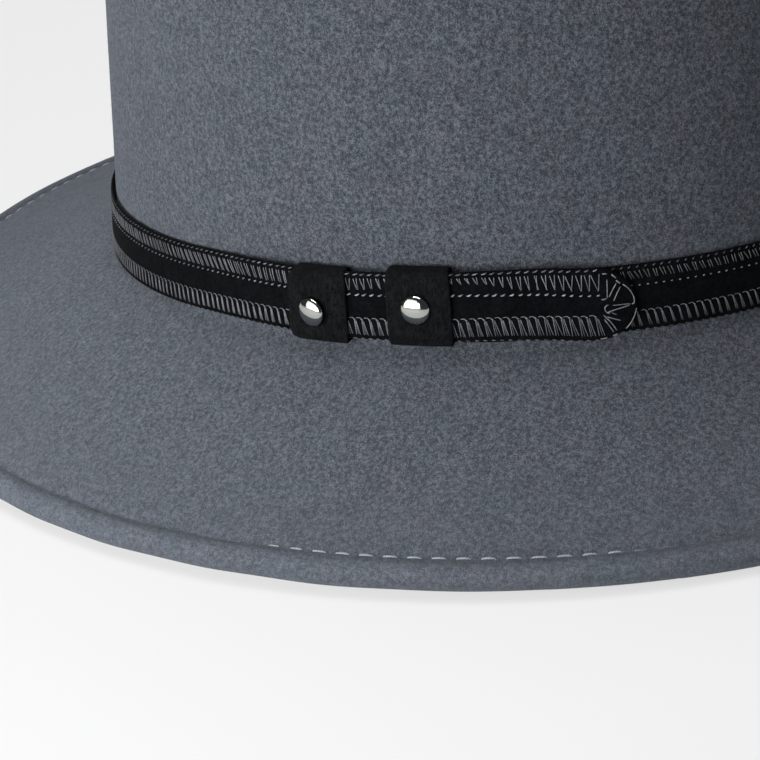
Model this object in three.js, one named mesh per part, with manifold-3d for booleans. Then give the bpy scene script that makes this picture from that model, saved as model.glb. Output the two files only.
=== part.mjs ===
// A felt hat with a turned-down brim, a folded and stitched hem, and a suede strap held by two keepers.
// Millimetres, +Z up. The hat rests on the hem at z = 0, its front faces -Y and its trim is at +X, the
// wearer's left. Angles round the crown are in degrees from the front, growing towards the wearer's left.
import * as THREE from 'three';
import { mergeVertices } from 'three/addons/utils/BufferGeometryUtils.js';
import Module from 'manifold-3d';

// Driving dimensions
const GAP = 0.3; // clearance between neighbouring pieces
const FELT = { wall: 2.2, hemWall: 4.6, segments: 64 }; // one layer, two layers at the hem
const CROWN = {
  halfLength: 100.2, // outside of the felt at the band line, front to back
  halfWidth: 84.2, // the same, side to side
  taper: 0.119, // how far the wall leans in for each millimetre of height
  centreY: 3.4, // places the middle of the whole hat on the origin
  wallHeight: 74, // above the band line, where the shoulder starts
  shoulderHeight: 32, // rise of the shoulder
  shoulderInset: 25, // how far the shoulder curves in
  shoulderPower: 2.3, // superellipse power of the shoulder
  frontRise: 2.5, // the crown stands this much higher at the front than at its middle
  topDome: 2.5, // rise of the plain top between the shoulders, before it is creased
};
const CREASE = {
  depth: 15, // long dent in the crown's top
  halfWidth: 27,
  halfLength: 62,
  backShift: 6, // its middle lies this far behind the crown's
  start: 0.55, // share of the shoulder's height below which the wall isn't creased
};
const PINCH = {
  depth: 8, // two dents at the crown's front
  x: 40,
  y: -66,
  spread: 23,
  height: 97,
  reach: 14, // upward and downward from that height
  back: 0.3, // the felt moves back and down by these shares of the depth
  down: 0.4,
};
const BAND = { height: 28, frontTilt: -1.6, sideRise: 2.3 }; // line that the strap's lower edge follows
const BREAK = {
  drop: 2.2, // small fillet where the brim leaves the crown
  wallReach: 1.2,
  brimReach: 2.2,
  innerBack: 0.75, // the inside corner lies back and down by these shares of the felt's thickness
  innerDown: 1.05,
};
const BRIM = {
  reach: 55.2, // plan distance from the crown to the middle of the rolled edge
  frontReach: 3.3, // longer by this at the front, shorter by it at the back
  lengthReach: 1.9, // longer by this at front and back, shorter by it at the sides
  edgeHeight: 1.6, // height of the roll's middle at front and back, which rest on the surface
  sideLift: 1.8, // the sides stand this much higher
  sag: 1.1, // how far the brim's middle lies below a straight line
};
const HEM = {
  width: 9.2, // measured inward from the edge, as the next is
  stitchLine: 7.4,
  groove: 0.45, // the stitches pull the felt in by this
  puff: 0.3, // and it stands up by this between them and the edge
  step: 0.6, // length of the step from two layers to one, on the underside
};
const STRAP = { thickness: 1.1, step: 6, corner: 0.3 };
const KEEPER = {
  thickness: 0.8,
  faceWidth: 8.4, // in degrees
  corner: 1.1, // outside corners, and the inside ones
  innerCorner: 0.25,
  round: 0.3, // share of a corner that its middle point is drawn in
  slack: 0.3, // between the strap's edges and the loop
};
const RIVET = {
  radius: 3.3,
  dome: 1.7, // height of the cap
  rim: 0.35, // height of the cap's edge
  underCut: 0.3, // the cap's underside is this much smaller
  seat: 0.12, // under the cap, clear of the suede
  postRadius: 1.1,
  postLength: 2.2,
  sides: 16,
};

// The strap's course, a row for each section: angle, lower and upper edge above the band line, and how
// many layers of strap lie under it. It starts under its own end, goes once round the crown by the back
// and comes over itself as the tab.
const STRAP_COURSE = [
  { angle: 88, low: 0.4, high: 15.1, layer: 0 },
  { angle: 110, low: -0.1, high: 15.0, layer: 0 },
  { angle: 125, low: -0.1, high: 14.8, layer: 0 },
  { angle: 142, low: -0.2, high: 14.7, layer: 0 },
  { angle: 230, low: -0.2, high: 14.8, layer: 0 },
  { angle: 395, low: -1.5, high: 13.8, layer: 0 },
  { angle: 410, low: -1.1, high: 14.2, layer: 0 },
  { angle: 425, low: -0.3, high: 14.9, layer: 0 },
  { angle: 437, low: 0.6, high: 15.7, layer: 0.5 },
  { angle: 446, low: 0.5, high: 15.8, layer: 1 },
  { angle: 458, low: 0.5, high: 16.3, layer: 1 },
  { angle: 466, low: 0.5, high: 16.4, layer: 1 },
  { angle: 479, low: -0.7, high: 15.2, layer: 1 },
];
const TAB_TIP = { angle: 484.2, low: 7.1, high: 7.3 }; // the rounded end
const TRIM = { start: 64, full: 78, end: 104, stop: 116 }; // where the strap stands off for the keepers

// The keepers and their rivets, a row for each
const KEEPERS = [
  { name: 'front', angle: 84.5, low: 0.2, high: 16.0, rivetAngle: 83.7, rivetHeight: 6.6 },
  { name: 'rear', angle: 97.8, low: 0.1, high: 16.6, rivetAngle: 97.4, rivetHeight: 8.8 },
];

const RAD = Math.PI / 180;
const { abs, min, max, sin, cos, exp, sign, atan2 } = Math;
const mix = (a, b, k) => a + (b - a) * k;
const smooth = THREE.MathUtils.smoothstep;

// Crown and band

// Height of the band line above the ground
function bandLine(angle) {
  const t = angle * RAD;
  return BAND.height + BAND.frontTilt * cos(t) - BAND.sideRise * cos(2 * t);
}

// A point beside an oval: inset shrinks the oval, out moves off it along its normal
function besideOval(angle, inset, out, z) {
  const t = angle * RAD;
  const length = CROWN.halfLength - inset;
  const width = CROWN.halfWidth - inset;
  const normal = new THREE.Vector2(sin(t) / width, -cos(t) / length).normalize();
  return new THREE.Vector3(
    width * sin(t) + out * normal.x,
    CROWN.centreY - length * cos(t) + out * normal.y,
    z,
  );
}

// A point beside the crown's wall, at a height above the band line
function besideWall(angle, height, out = 0) {
  return besideOval(angle, CROWN.taper * height, out, bandLine(angle) + height);
}

// Moves a point of the plain crown by the front pinches and the long crease
function dent(point, height) {
  const { x, y, z } = point;
  const beside = ((abs(x) - PINCH.x) ** 2 + (y - PINCH.y) ** 2) / PINCH.spread ** 2;
  const pinch = PINCH.depth * exp(-beside - ((height - PINCH.height) / PINCH.reach) ** 2);
  const across = exp(-((x / CREASE.halfWidth) ** 2));
  const along = exp(-(((y - CROWN.centreY - CREASE.backShift) / CREASE.halfLength) ** 4));
  const creaseStart = CROWN.wallHeight + CREASE.start * CROWN.shoulderHeight;
  const top = smooth(height, creaseStart, CROWN.wallHeight + CROWN.shoulderHeight);
  return new THREE.Vector3(
    x - sign(x) * pinch,
    y + PINCH.back * pinch,
    z - PINCH.down * pinch - CREASE.depth * across * along * top,
  );
}

// Outside of the crown. k runs from 0 at the crown's middle to 1 at the shoulder's top edge, to 2 at the
// top of the wall, and to 3 at the band line.
function crownPoint(angle, k) {
  const base = bandLine(angle);
  const full = CROWN.wallHeight + CROWN.shoulderHeight;
  let height;
  let inset;
  let scale = 1;
  if (k >= 2) {
    height = CROWN.wallHeight * (3 - k);
    inset = CROWN.taper * height;
  } else {
    const turn = max(k - 1, 0) * 90 * RAD; // 0 on top, 90 degrees on the wall
    const power = 2 / CROWN.shoulderPower;
    height = CROWN.wallHeight + CROWN.shoulderHeight * cos(turn) ** power;
    inset = CROWN.taper * height + CROWN.shoulderInset * (1 - sin(turn) ** power);
    scale = min(k, 1);
  }
  const rim = besideOval(angle, inset, 0, 0);
  const level = mix(base, BAND.height, smooth(height, 0, full));
  const rise = CROWN.frontRise * cos(angle * RAD) * scale * smooth(height, 0, full);
  const plain = new THREE.Vector3(
    rim.x * scale,
    CROWN.centreY + (rim.y - CROWN.centreY) * scale,
    level + height + rise + CROWN.topDome * (1 - scale ** 2),
  );
  return dent(plain, height);
}

// Brim and hem, worked out in a section: out from the crown's oval, and z above the ground
function brimFrame(angle) {
  const t = angle * RAD;
  const root = new THREE.Vector2(0, bandLine(angle) - BREAK.drop);
  const reach = BRIM.reach + BRIM.frontReach * cos(t) + BRIM.lengthReach * cos(2 * t);
  const roll = new THREE.Vector2(reach, BRIM.edgeHeight + (BRIM.sideLift * (1 - cos(2 * t))) / 2);
  const slope = atan2(root.y - roll.y, reach);
  const along = new THREE.Vector2(cos(slope), -sin(slope));
  const up = new THREE.Vector2(sin(slope), cos(slope));
  const rim = roll.clone().addScaledVector(up, FELT.hemWall / 2);
  return { root, roll, along, up, rim, length: rim.distanceTo(root) };
}

// Top of the brim at a distance inward from the hem's outer edge
function brimTop(frame, inward, lift = 0) {
  const reach = frame.length + FELT.hemWall / 2;
  const u = 1 - inward / reach;
  const along = frame.rim.clone().sub(frame.root).normalize();
  const up = new THREE.Vector2(-along.y, along.x);
  const sag = BRIM.sag * sin(Math.PI * min(u, 1));
  return frame.root.clone().addScaledVector(along, u * reach).addScaledVector(up, lift - sag);
}

// Rows of the outside surface from the crown's middle to the hem's edge, then of the underside back to
// the inside of the crown. Each is a function of the angle.
const TOP_ROWS = [0.22, 0.42, 0.6, 0.76, 0.9, 1.0]; // k as crownPoint takes it
const WALL_ROWS = [1.2, 1.4, 1.58, 1.75, 1.9, 2.05, 2.2, 2.36, 2.52, 2.68, 2.84];
const BRIM_ROWS = [46, 36, 26, 17, 11]; // inward from the edge
const HEM_ROWS = [
  { inward: HEM.stitchLine + 0.9, lift: 0.1 },
  { inward: HEM.stitchLine, lift: -HEM.groove },
  { inward: HEM.stitchLine - 1, lift: 0.1 },
  { inward: 4.2, lift: HEM.puff },
];
const ROLL_TURNS = [78, 42, 6, -30, -66, -102]; // degrees round the rolled edge, from its top
const INNER_CROWN_ROWS = [2.9, 2.7, 2.4, 2.1, 1.85, 1.6, 1.35, 1.1, 0.85, 0.55, 0.28];

// Corner between wall and brim, rounded by a quadratic curve; deeper by the wall on the underside
function breakRow(angle, k, offset) {
  const frame = brimFrame(angle);
  const along = frame.rim.clone().sub(frame.root).normalize();
  const up = new THREE.Vector2(-along.y, along.x);
  const shift = new THREE.Vector2(-BREAK.innerBack * offset, -BREAK.innerDown * offset);
  const corner = frame.root.clone().add(shift);
  const wallEnd = new THREE.Vector2(-offset, frame.root.y + BREAK.wallReach);
  const brimEnd = frame.root.clone().addScaledVector(along, BREAK.brimReach).addScaledVector(up, -offset);
  const curve = new THREE.QuadraticBezierCurve(wallEnd, corner, brimEnd);
  return curve.getPoint(k);
}

const fromSection = (angle, p) => besideOval(angle, 0, p.x, max(p.y, 0)); // felt lies flat where it rests

// Normal of the crown's outside, for the inner wall
function crownNormal(angle, k) {
  const e = 0.01;
  const around = crownPoint(angle + 1, k).sub(crownPoint(angle - 1, k));
  const down = crownPoint(angle, min(k + e, 3)).sub(crownPoint(angle, max(k - e, 0.02)));
  return down.cross(around).normalize();
}

function feltRings() {
  const rings = [];
  const angles = Array.from({ length: FELT.segments }, (_, i) => (360 * i) / FELT.segments);
  const ring = (make) => rings.push(angles.map(make));
  [...TOP_ROWS, ...WALL_ROWS].forEach((k) => ring((a) => crownPoint(a, k)));
  [0, 0.35, 0.7, 1].forEach((k) => ring((a) => fromSection(a, breakRow(a, k, 0))));
  BRIM_ROWS.forEach((inward) => ring((a) => fromSection(a, brimTop(brimFrame(a), inward))));
  HEM_ROWS.forEach(({ inward, lift }) => ring((a) => fromSection(a, brimTop(brimFrame(a), inward, lift))));
  ROLL_TURNS.forEach((turn) => ring((a) => {
    const { roll, along, up } = brimFrame(a);
    const radius = FELT.hemWall / 2;
    const p = roll.clone().addScaledVector(along, radius * cos(turn * RAD));
    return fromSection(a, p.addScaledVector(up, radius * sin(turn * RAD)));
  }));
  ring((a) => fromSection(a, brimTop(brimFrame(a), HEM.width, -FELT.hemWall)));
  ring((a) => fromSection(a, brimTop(brimFrame(a), HEM.width + HEM.step, -FELT.wall)));
  [...BRIM_ROWS].reverse().slice(1).forEach((inward) => {
    ring((a) => fromSection(a, brimTop(brimFrame(a), inward, -FELT.wall)));
  });
  [1, 0.5, 0].forEach((k) => ring((a) => fromSection(a, breakRow(a, k, FELT.wall))));
  INNER_CROWN_ROWS.forEach((k) => {
    ring((a) => crownPoint(a, k).addScaledVector(crownNormal(a, k), -FELT.wall));
  });
  return rings;
}

// A closed mesh from rings of equal length. Each end is closed by a point.
function closedFromRings(rings, first, last) {
  const n = rings[0].length;
  const vertices = [first, ...rings.flat(), last];
  const at = (row, i) => 1 + row * n + (i % n);
  const faces = [];
  for (let i = 0; i < n; i += 1) {
    faces.push([0, at(0, i), at(0, i + 1)]);
    for (let row = 0; row + 1 < rings.length; row += 1) {
      faces.push([at(row, i), at(row + 1, i), at(row + 1, i + 1)]);
      faces.push([at(row, i), at(row + 1, i + 1), at(row, i + 1)]);
    }
    faces.push([vertices.length - 1, at(rings.length - 1, i + 1), at(rings.length - 1, i)]);
  }
  return { vertices, faces };
}

function toGeometry({ vertices, faces }) {
  const geometry = new THREE.BufferGeometry();
  const positions = vertices.flatMap((v) => [v.x, v.y, v.z]);
  geometry.setAttribute('position', new THREE.Float32BufferAttribute(positions, 3));
  geometry.setIndex(faces.flat());
  geometry.computeVertexNormals();
  return geometry;
}

function feltBody() {
  const inner = crownPoint(0, 0);
  inner.z -= FELT.wall;
  return toGeometry(closedFromRings(feltRings(), crownPoint(0, 0), inner));
}

// Strap

// Slope of a column of the course at a row: none where the column turns, so that nothing overshoots
function courseSlope(i, key) {
  if (i === 0 || i === STRAP_COURSE.length - 1) return 0;
  const [before, row, after] = STRAP_COURSE.slice(i - 1, i + 2);
  const left = (row[key] - before[key]) / (row.angle - before.angle);
  const right = (after[key] - row[key]) / (after.angle - row.angle);
  return left * right > 0 ? (2 * left * right) / (left + right) : 0;
}

// A value of the course between its rows, on a smooth curve through them
function courseAt(angle, key) {
  const i = STRAP_COURSE.findIndex((row) => row.angle >= angle);
  if (i < 0) return STRAP_COURSE.at(-1)[key];
  if (i === 0) return STRAP_COURSE[0][key];
  const [a, b] = [STRAP_COURSE[i - 1], STRAP_COURSE[i]];
  const span = b.angle - a.angle;
  const k = (angle - a.angle) / span;
  const leave = k * (1 - k) ** 2 * courseSlope(i - 1, key);
  const arrive = k ** 2 * (1 - k) * courseSlope(i, key);
  return mix(a[key], b[key], smooth(k, 0, 1)) + span * (leave - arrive);
}

// Distance from the felt to the strap's first layer: it makes room for the keepers' backs
function standOff(angle) {
  const a = ((angle % 360) + 360) % 360;
  const near = smooth(a, TRIM.start, TRIM.full) * (1 - smooth(a, TRIM.end, TRIM.stop));
  return GAP + near * (KEEPER.thickness + GAP);
}

function strapSection(angle, low, high) {
  const layer = courseAt(angle, 'layer');
  const inside = standOff(angle) + layer * (STRAP.thickness + GAP);
  const outside = inside + STRAP.thickness;
  const c = min(STRAP.corner, (high - low) / 3);
  const corners = [
    [inside + c, low], [outside - c, low], [outside, low + c], [outside, high - c],
    [outside - c, high], [inside + c, high], [inside, high - c], [inside, low + c],
  ];
  return corners.map(([out, height]) => besideWall(angle, height, out));
}

function hatStrap() {
  const start = STRAP_COURSE[0].angle;
  const straightEnd = STRAP_COURSE.at(-1).angle;
  const steps = Math.ceil((straightEnd - start) / STRAP.step);
  const sections = [];
  for (let i = 0; i <= steps; i += 1) {
    const angle = mix(start, straightEnd, i / steps);
    sections.push(strapSection(angle, courseAt(angle, 'low'), courseAt(angle, 'high')));
  }
  for (const turn of [18, 36, 52, 66, 78]) {
    const angle = mix(straightEnd, TAB_TIP.angle, sin(turn * RAD));
    const half = cos(turn * RAD);
    const low = mix(TAB_TIP.low, courseAt(angle, 'low'), half);
    const high = mix(TAB_TIP.high, courseAt(angle, 'high'), half);
    sections.push(strapSection(angle, low, high));
  }
  const middle = (section) => {
    const sum = section.reduce((total, v) => total.add(v), new THREE.Vector3());
    return sum.divideScalar(section.length);
  };
  return toGeometry(closedFromRings(sections, middle(sections[0]), middle(sections.at(-1))));
}

// Keepers and rivets

// Section of a keeper's loop: a rounded outline outside and one inside, as [out, height] pairs
function keeperOutline(back, front, low, high, corner) {
  const c = corner;
  const d = KEEPER.round * c;
  return [
    [back + c, low], [front - c, low], [front - d, low + d], [front, low + c],
    [front, high - c], [front - d, high - d], [front - c, high], [back + c, high],
    [back, high - c], [back, low + c],
  ];
}

function keeper({ angle: centre, low, high }) {
  const steps = 4;
  const t = KEEPER.thickness;
  const back = standOff(centre) - GAP;
  const face = standOff(centre) + 2 * STRAP.thickness + 2 * GAP;
  const bottom = low - KEEPER.slack;
  const top = high + KEEPER.slack;
  const outer = keeperOutline(back - t, face + t, bottom - t, top + t, KEEPER.corner);
  const inner = keeperOutline(back, face, bottom, top, KEEPER.innerCorner);
  const sections = [];
  for (let i = 0; i <= steps; i += 1) {
    const angle = centre + KEEPER.faceWidth * (i / steps - 0.5);
    const bent = (loop) => loop.map(([out, height]) => besideWall(angle, height, out));
    sections.push([bent(outer), bent(inner)]);
  }
  const n = sections[0][0].length;
  const vertices = sections.flat(2);
  const at = (section, loop, i) => (section * 2 + loop) * n + (i % n);
  const faces = [];
  const quad = (a, b, c, d) => faces.push([a, b, c], [a, c, d]);
  for (let i = 0; i < n; i += 1) {
    for (let s = 0; s < steps; s += 1) {
      quad(at(s, 0, i), at(s + 1, 0, i), at(s + 1, 0, i + 1), at(s, 0, i + 1));
      quad(at(s, 1, i), at(s, 1, i + 1), at(s + 1, 1, i + 1), at(s + 1, 1, i));
    }
    quad(at(0, 0, i), at(0, 0, i + 1), at(0, 1, i + 1), at(0, 1, i));
    quad(at(steps, 0, i), at(steps, 1, i), at(steps, 1, i + 1), at(steps, 0, i + 1));
  }
  return toGeometry({ vertices, faces });
}

// Where a rivet sits: on the keeper's face, its axis square to the crown's wall
function rivetPlace({ angle: centre, rivetAngle, rivetHeight }) {
  const out = standOff(centre) + 2 * STRAP.thickness + 2 * GAP + KEEPER.thickness;
  const place = new THREE.Object3D();
  place.position.copy(besideWall(rivetAngle, rivetHeight, out));
  const at = (angle, height) => besideWall(angle, height, out);
  const around = at(rivetAngle + 1, rivetHeight).sub(at(rivetAngle - 1, rivetHeight));
  const up = at(rivetAngle, rivetHeight + 1).sub(at(rivetAngle, rivetHeight - 1));
  const axis = around.cross(up).normalize();
  place.quaternion.setFromUnitVectors(new THREE.Vector3(0, 1, 0), axis);
  place.updateMatrix();
  return place;
}

// Domed cap on a post that passes the keeper and the tab. Its own axis is +Y, from the keeper's face.
function rivetShape() {
  const { radius, dome, rim, underCut, seat, postRadius, postLength } = RIVET;
  const profile = [
    [0, -postLength],
    [postRadius, -postLength],
    [postRadius, seat],
    [radius - underCut, seat],
    [radius, seat + rim],
  ];
  for (const turn of [22, 42, 58, 74]) {
    profile.push([radius * cos(turn * RAD), seat + rim + (dome - rim) * sin(turn * RAD)]);
  }
  profile.push([0, seat + dome]);
  return new THREE.LatheGeometry(profile.map(([x, y]) => new THREE.Vector2(x, y)), RIVET.sides);
}

// Boolean cuts

const wasm = await Module();
wasm.setup();

function toSolid(geometry) {
  const bare = geometry.clone();
  bare.deleteAttribute('normal');
  bare.deleteAttribute('uv');
  const merged = mergeVertices(bare);
  return new wasm.Manifold(new wasm.Mesh({
    numProp: 3,
    vertProperties: new Float32Array(merged.attributes.position.array),
    triVerts: new Uint32Array(merged.index.array),
  }));
}

function fromSolid(solid) {
  const { numProp, vertProperties, triVerts } = solid.getMesh();
  const positions = [];
  for (let i = 0; i < vertProperties.length; i += numProp) {
    positions.push(vertProperties[i], vertProperties[i + 1], vertProperties[i + 2]);
  }
  const geometry = new THREE.BufferGeometry();
  geometry.setAttribute('position', new THREE.Float32BufferAttribute(positions, 3));
  geometry.setIndex(Array.from(triVerts));
  geometry.computeVertexNormals();
  return geometry;
}

// Drills a hole for each rivet's post, deep enough for the keeper's face and the tab under it
function drill(geometry, keepers) {
  const depth = RIVET.postLength + GAP;
  let solid = toSolid(geometry);
  for (const row of keepers) {
    const tool = new THREE.CylinderGeometry(RIVET.postRadius + GAP, RIVET.postRadius + GAP, 2 * depth, 12);
    tool.applyMatrix4(rivetPlace(row).matrix);
    solid = solid.subtract(toSolid(tool));
  }
  return fromSolid(solid);
}

// Materials, after the photographed hat
const felt = new THREE.MeshStandardMaterial({ color: 0x63676f, roughness: 0.97, metalness: 0 });
const suede = new THREE.MeshStandardMaterial({ color: 0x17181b, roughness: 0.95, metalness: 0 });
const keeperSuede = new THREE.MeshStandardMaterial({ color: 0x1d1c1d, roughness: 0.95, metalness: 0 });
const nickel = new THREE.MeshStandardMaterial({ color: 0xd5d6d8, roughness: 0.18, metalness: 1 });

const hat = new THREE.Group();

function add(name, geometry, material) {
  const mesh = new THREE.Mesh(geometry, material);
  mesh.name = name;
  hat.add(mesh);
  return mesh;
}

add('felt_body', feltBody(), felt);
add('hat_strap', drill(hatStrap(), KEEPERS), suede);
for (const row of KEEPERS) {
  add(`keeper_${row.name}`, drill(keeper(row), [row]), keeperSuede);
  const rivet = add(`rivet_${row.name}`, rivetShape(), nickel);
  const place = rivetPlace(row);
  rivet.position.copy(place.position);
  rivet.quaternion.copy(place.quaternion);
}

export default hat;
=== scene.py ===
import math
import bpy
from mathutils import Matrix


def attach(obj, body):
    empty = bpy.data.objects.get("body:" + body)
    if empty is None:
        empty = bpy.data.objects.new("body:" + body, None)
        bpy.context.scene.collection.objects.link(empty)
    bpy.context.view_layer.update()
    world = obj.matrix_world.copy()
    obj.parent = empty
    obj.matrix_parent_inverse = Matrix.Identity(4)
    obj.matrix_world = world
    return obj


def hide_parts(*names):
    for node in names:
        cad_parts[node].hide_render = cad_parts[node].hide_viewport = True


bl_info = {
    "name": "Felt hat",
    "version": (1, 0, 0),
    "blender": (4, 5, 0),
    "location": "View3D > Sidebar > Felt hat",
    "description": "Dresses the frame of a grey felt hat: felt, suede strap, seams, keepers and rivets",
    "category": "Add Mesh",
}

import bpy
import numpy as np
from bpy.props import FloatProperty, FloatVectorProperty, IntProperty, PointerProperty
from bpy.types import Operator, Panel, PropertyGroup
from mathutils import Matrix

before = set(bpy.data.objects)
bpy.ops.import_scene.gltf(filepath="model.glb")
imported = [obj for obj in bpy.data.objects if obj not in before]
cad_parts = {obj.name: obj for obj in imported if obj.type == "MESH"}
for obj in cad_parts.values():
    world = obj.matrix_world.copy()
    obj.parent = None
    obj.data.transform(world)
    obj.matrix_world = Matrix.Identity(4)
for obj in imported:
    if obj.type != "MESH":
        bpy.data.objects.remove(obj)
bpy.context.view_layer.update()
BODY = "root"
ROUND = 360.0


# Properties: the sizes and colours that a user would change


def length(name, default, description):
    return FloatProperty(name=name, description=description, default=default, unit="LENGTH", precision=5)


def share(name, default, description):
    return FloatProperty(name=name, description=description, default=default)


def angle_of(name, default, description):
    return FloatProperty(
        name=name, description=description, default=math.radians(default), unit="ROTATION"
    )


def colour(name, default, description):
    return FloatVectorProperty(
        name=name, description=description, default=default, subtype="COLOR", size=3, min=0, max=1
    )


class CrownSizes(PropertyGroup):
    half_length: length("Half length", 0.1002, "Outside of the felt at the band line, front to back")
    half_width: length("Half width", 0.0842, "Outside of the felt at the band line, side to side")
    taper: share("Taper", 0.119, "How far the wall leans in for its height")
    centre_y: length("Centre", 0.0034, "Place of the crown's middle along the hat")
    wall_height: length("Wall height", 0.074, "From the band line to the shoulder")
    shoulder_height: length("Shoulder height", 0.032, "Rise of the shoulder")
    shoulder_inset: length("Shoulder inset", 0.025, "How far the shoulder curves in")
    shoulder_power: share("Shoulder power", 2.3, "Superellipse power of the shoulder")
    front_rise: length("Front rise", 0.0025, "The crown stands this much higher at the front")
    top_dome: length("Top dome", 0.0025, "Rise of the plain top before it is creased")
    crease_depth: length("Crease depth", 0.015, "Depth of the long dent in the top")
    crease_half_width: length("Crease half width", 0.027, "Half width of the long dent")
    crease_half_length: length("Crease half length", 0.062, "Half length of the long dent")
    crease_back: length("Crease shift", 0.006, "The dent's middle lies this far behind the crown's")
    crease_start: share("Crease start", 0.55, "Share of the shoulder that isn't creased")
    pinch_depth: length("Pinch depth", 0.008, "Depth of the two dents at the front")
    pinch_x: length("Pinch place", 0.040, "Distance of each pinch from the middle plane")
    pinch_y: length("Pinch place along", -0.066, "Place of the pinches along the hat")
    pinch_spread: length("Pinch spread", 0.023, "Width of a pinch")
    pinch_height: length("Pinch height", 0.097, "Height of a pinch above the band line")
    pinch_reach: length("Pinch reach", 0.014, "Reach of a pinch up and down")
    pinch_back: share("Pinch back", 0.3, "Share of its depth that the felt moves back")
    pinch_down: share("Pinch down", 0.4, "Share of its depth that the felt moves down")


class BrimSizes(PropertyGroup):
    band_height: length("Band height", 0.028, "Mean height of the line under the strap")
    front_tilt: length("Front tilt", -0.0016, "The band line is lower by this at the front")
    side_rise: length("Side rise", 0.0023, "The band line is higher by this at the sides")
    break_drop: length("Break drop", 0.0022, "The brim leaves the crown this far under the band line")
    break_wall: length("Break on the wall", 0.0012, "Reach of the corner's rounding up the wall")
    break_brim: length("Break on the brim", 0.0022, "Reach of the corner's rounding along the brim")
    break_back: share("Inner break back", 0.75, "Place of the inner corner, in layers of felt")
    break_down: share("Inner break down", 1.05, "Place of the inner corner, in layers of felt")
    reach: length("Reach", 0.0552, "From the crown to the middle of the rolled edge")
    front_reach: length("Front reach", 0.0033, "Longer by this at the front")
    length_reach: length("Length reach", 0.0019, "Longer by this at front and back")
    edge_height: length("Edge height", 0.0016, "Height of the roll's middle where the hat rests")
    side_lift: length("Side lift", 0.0018, "The sides of the edge stand this much higher")
    sag: length("Sag", 0.0011, "How far the brim's middle lies under a straight line")
    felt: length("Felt", 0.0022, "Thickness of one layer of felt")
    hem: length("Hem", 0.0046, "Thickness of the folded hem")
    hem_width: length("Hem width", 0.0092, "Width of the folded hem")
    hem_step: length("Hem step", 0.0006, "Length of the step from two layers to one")
    waver: length("Waver", 0.00012, "How far the felt strays from its plain form")


class HemStitchSizes(PropertyGroup):
    line: length("Line", 0.0065, "Distance of the stitches from the edge")
    pitch: length("Pitch", 0.00509, "From one stitch to the next")
    dash: length("Dash", 0.0031, "Length of thread that shows")
    thread: length("Thread", 0.00044, "Thickness of the thread")
    groove: length("Groove", 0.00045, "Depth of the groove that the stitches pull")
    groove_width: length("Groove width", 0.0012, "Half width of that groove")
    hole: length("Hole", 0.00012, "Depth of the dimple where the thread goes in")
    hole_width: length("Hole width", 0.00075, "Half width of a dimple")
    puff: length("Puff", 0.0005, "How far the hem stands up between stitches and edge")
    start: share("Start", 0.81, "Place of the first stitch, in stitches")
    # Painted shade: the felt is painted darker in the furrow along the stitches.
    furrow: share("Furrow", 0.30, "How much darker the felt is in the furrow along the stitches")
    furrow_offset: length("Furrow place", 0.0009, "Distance of the furrow from the stitches")
    furrow_width: length("Furrow width", 0.0009, "Half width of the furrow")
    # Pale edge: painted light that makes the hem's felt paler towards its edge.
    painted_edge_light: share("Pale edge", 0.24, "How much paler the felt is at the worn edge")


class StrapSizes(PropertyGroup):
    gap: length("Gap", 0.0003, "Clearance between neighbouring pieces")
    thickness: length("Thickness", 0.0011, "Thickness of the suede strap")
    edge: length("Edge", 0.0009, "Reach of the edge's rounding")
    step: length("Step", 0.00045, "From one section of the strap to the next")
    channel: length("Channel", 0.00014, "Depth that the inner line is pulled in")
    keeper_thickness: length("Keeper thickness", 0.0008, "Thickness of a keeper's suede")
    keeper_fold: length("Keeper fold", 0.0005, "Thickness of the folds round the strap's edges")
    keeper_slack: length("Keeper slack", 0.00005, "Between the strap's edges and the keeper")
    keeper_corner: length("Keeper corner", 0.0017, "Radius of the keeper's folds")
    keeper_swell: length("Keeper swell", 0.00022, "How far the keeper's face stands out in the middle")
    keeper_width: angle_of("Keeper width", 8.05, "Width of a keeper's face round the crown")


class SeamSizes(PropertyGroup):
    pitch: length("Pitch", 0.00179, "From one overcast stitch to the next")
    thread: length("Thread", 0.00020, "Thickness of the overcast thread")
    needle: length("Needle thread", 0.00039, "Thickness of the dashes on the inner line")
    edge: length("Edge thread", 0.00028, "Thickness of the dashes on the strap's edge")
    arch: length("Arch thread", 0.00018, "Thickness of the arches over the lower seam")
    jitter: length("Jitter", 0.00006, "How far stitches stray from their places")


class RivetSizes(PropertyGroup):
    radius: length("Radius", 0.0033, "Radius of the cap")
    dome: length("Dome", 0.0017, "Height of the cap")
    rim: length("Rim", 0.00035, "Height of the cap's edge")
    seat: length("Seat", 0.00006, "Gap under the cap")
    sides: IntProperty(name="Sides", description="Points round the cap", default=64, min=12)
    post: length("Post", 0.0011, "Radius of the post")
    post_length: length("Post length", 0.0018, "How deep the post goes")


class NapSizes(PropertyGroup):
    count: IntProperty(name="Fibres", description="Loose fibres on the felt", default=13000, min=0)
    shortest: length("Shortest", 0.0004, "Length of the shortest fibre")
    longest: length("Longest", 0.0013, "Length of the longest fibre")
    thickness: length("Thickness", 0.000045, "Thickness of a fibre")
    seed: IntProperty(name="Seed", description="Start of the random numbers", default=11)


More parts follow.
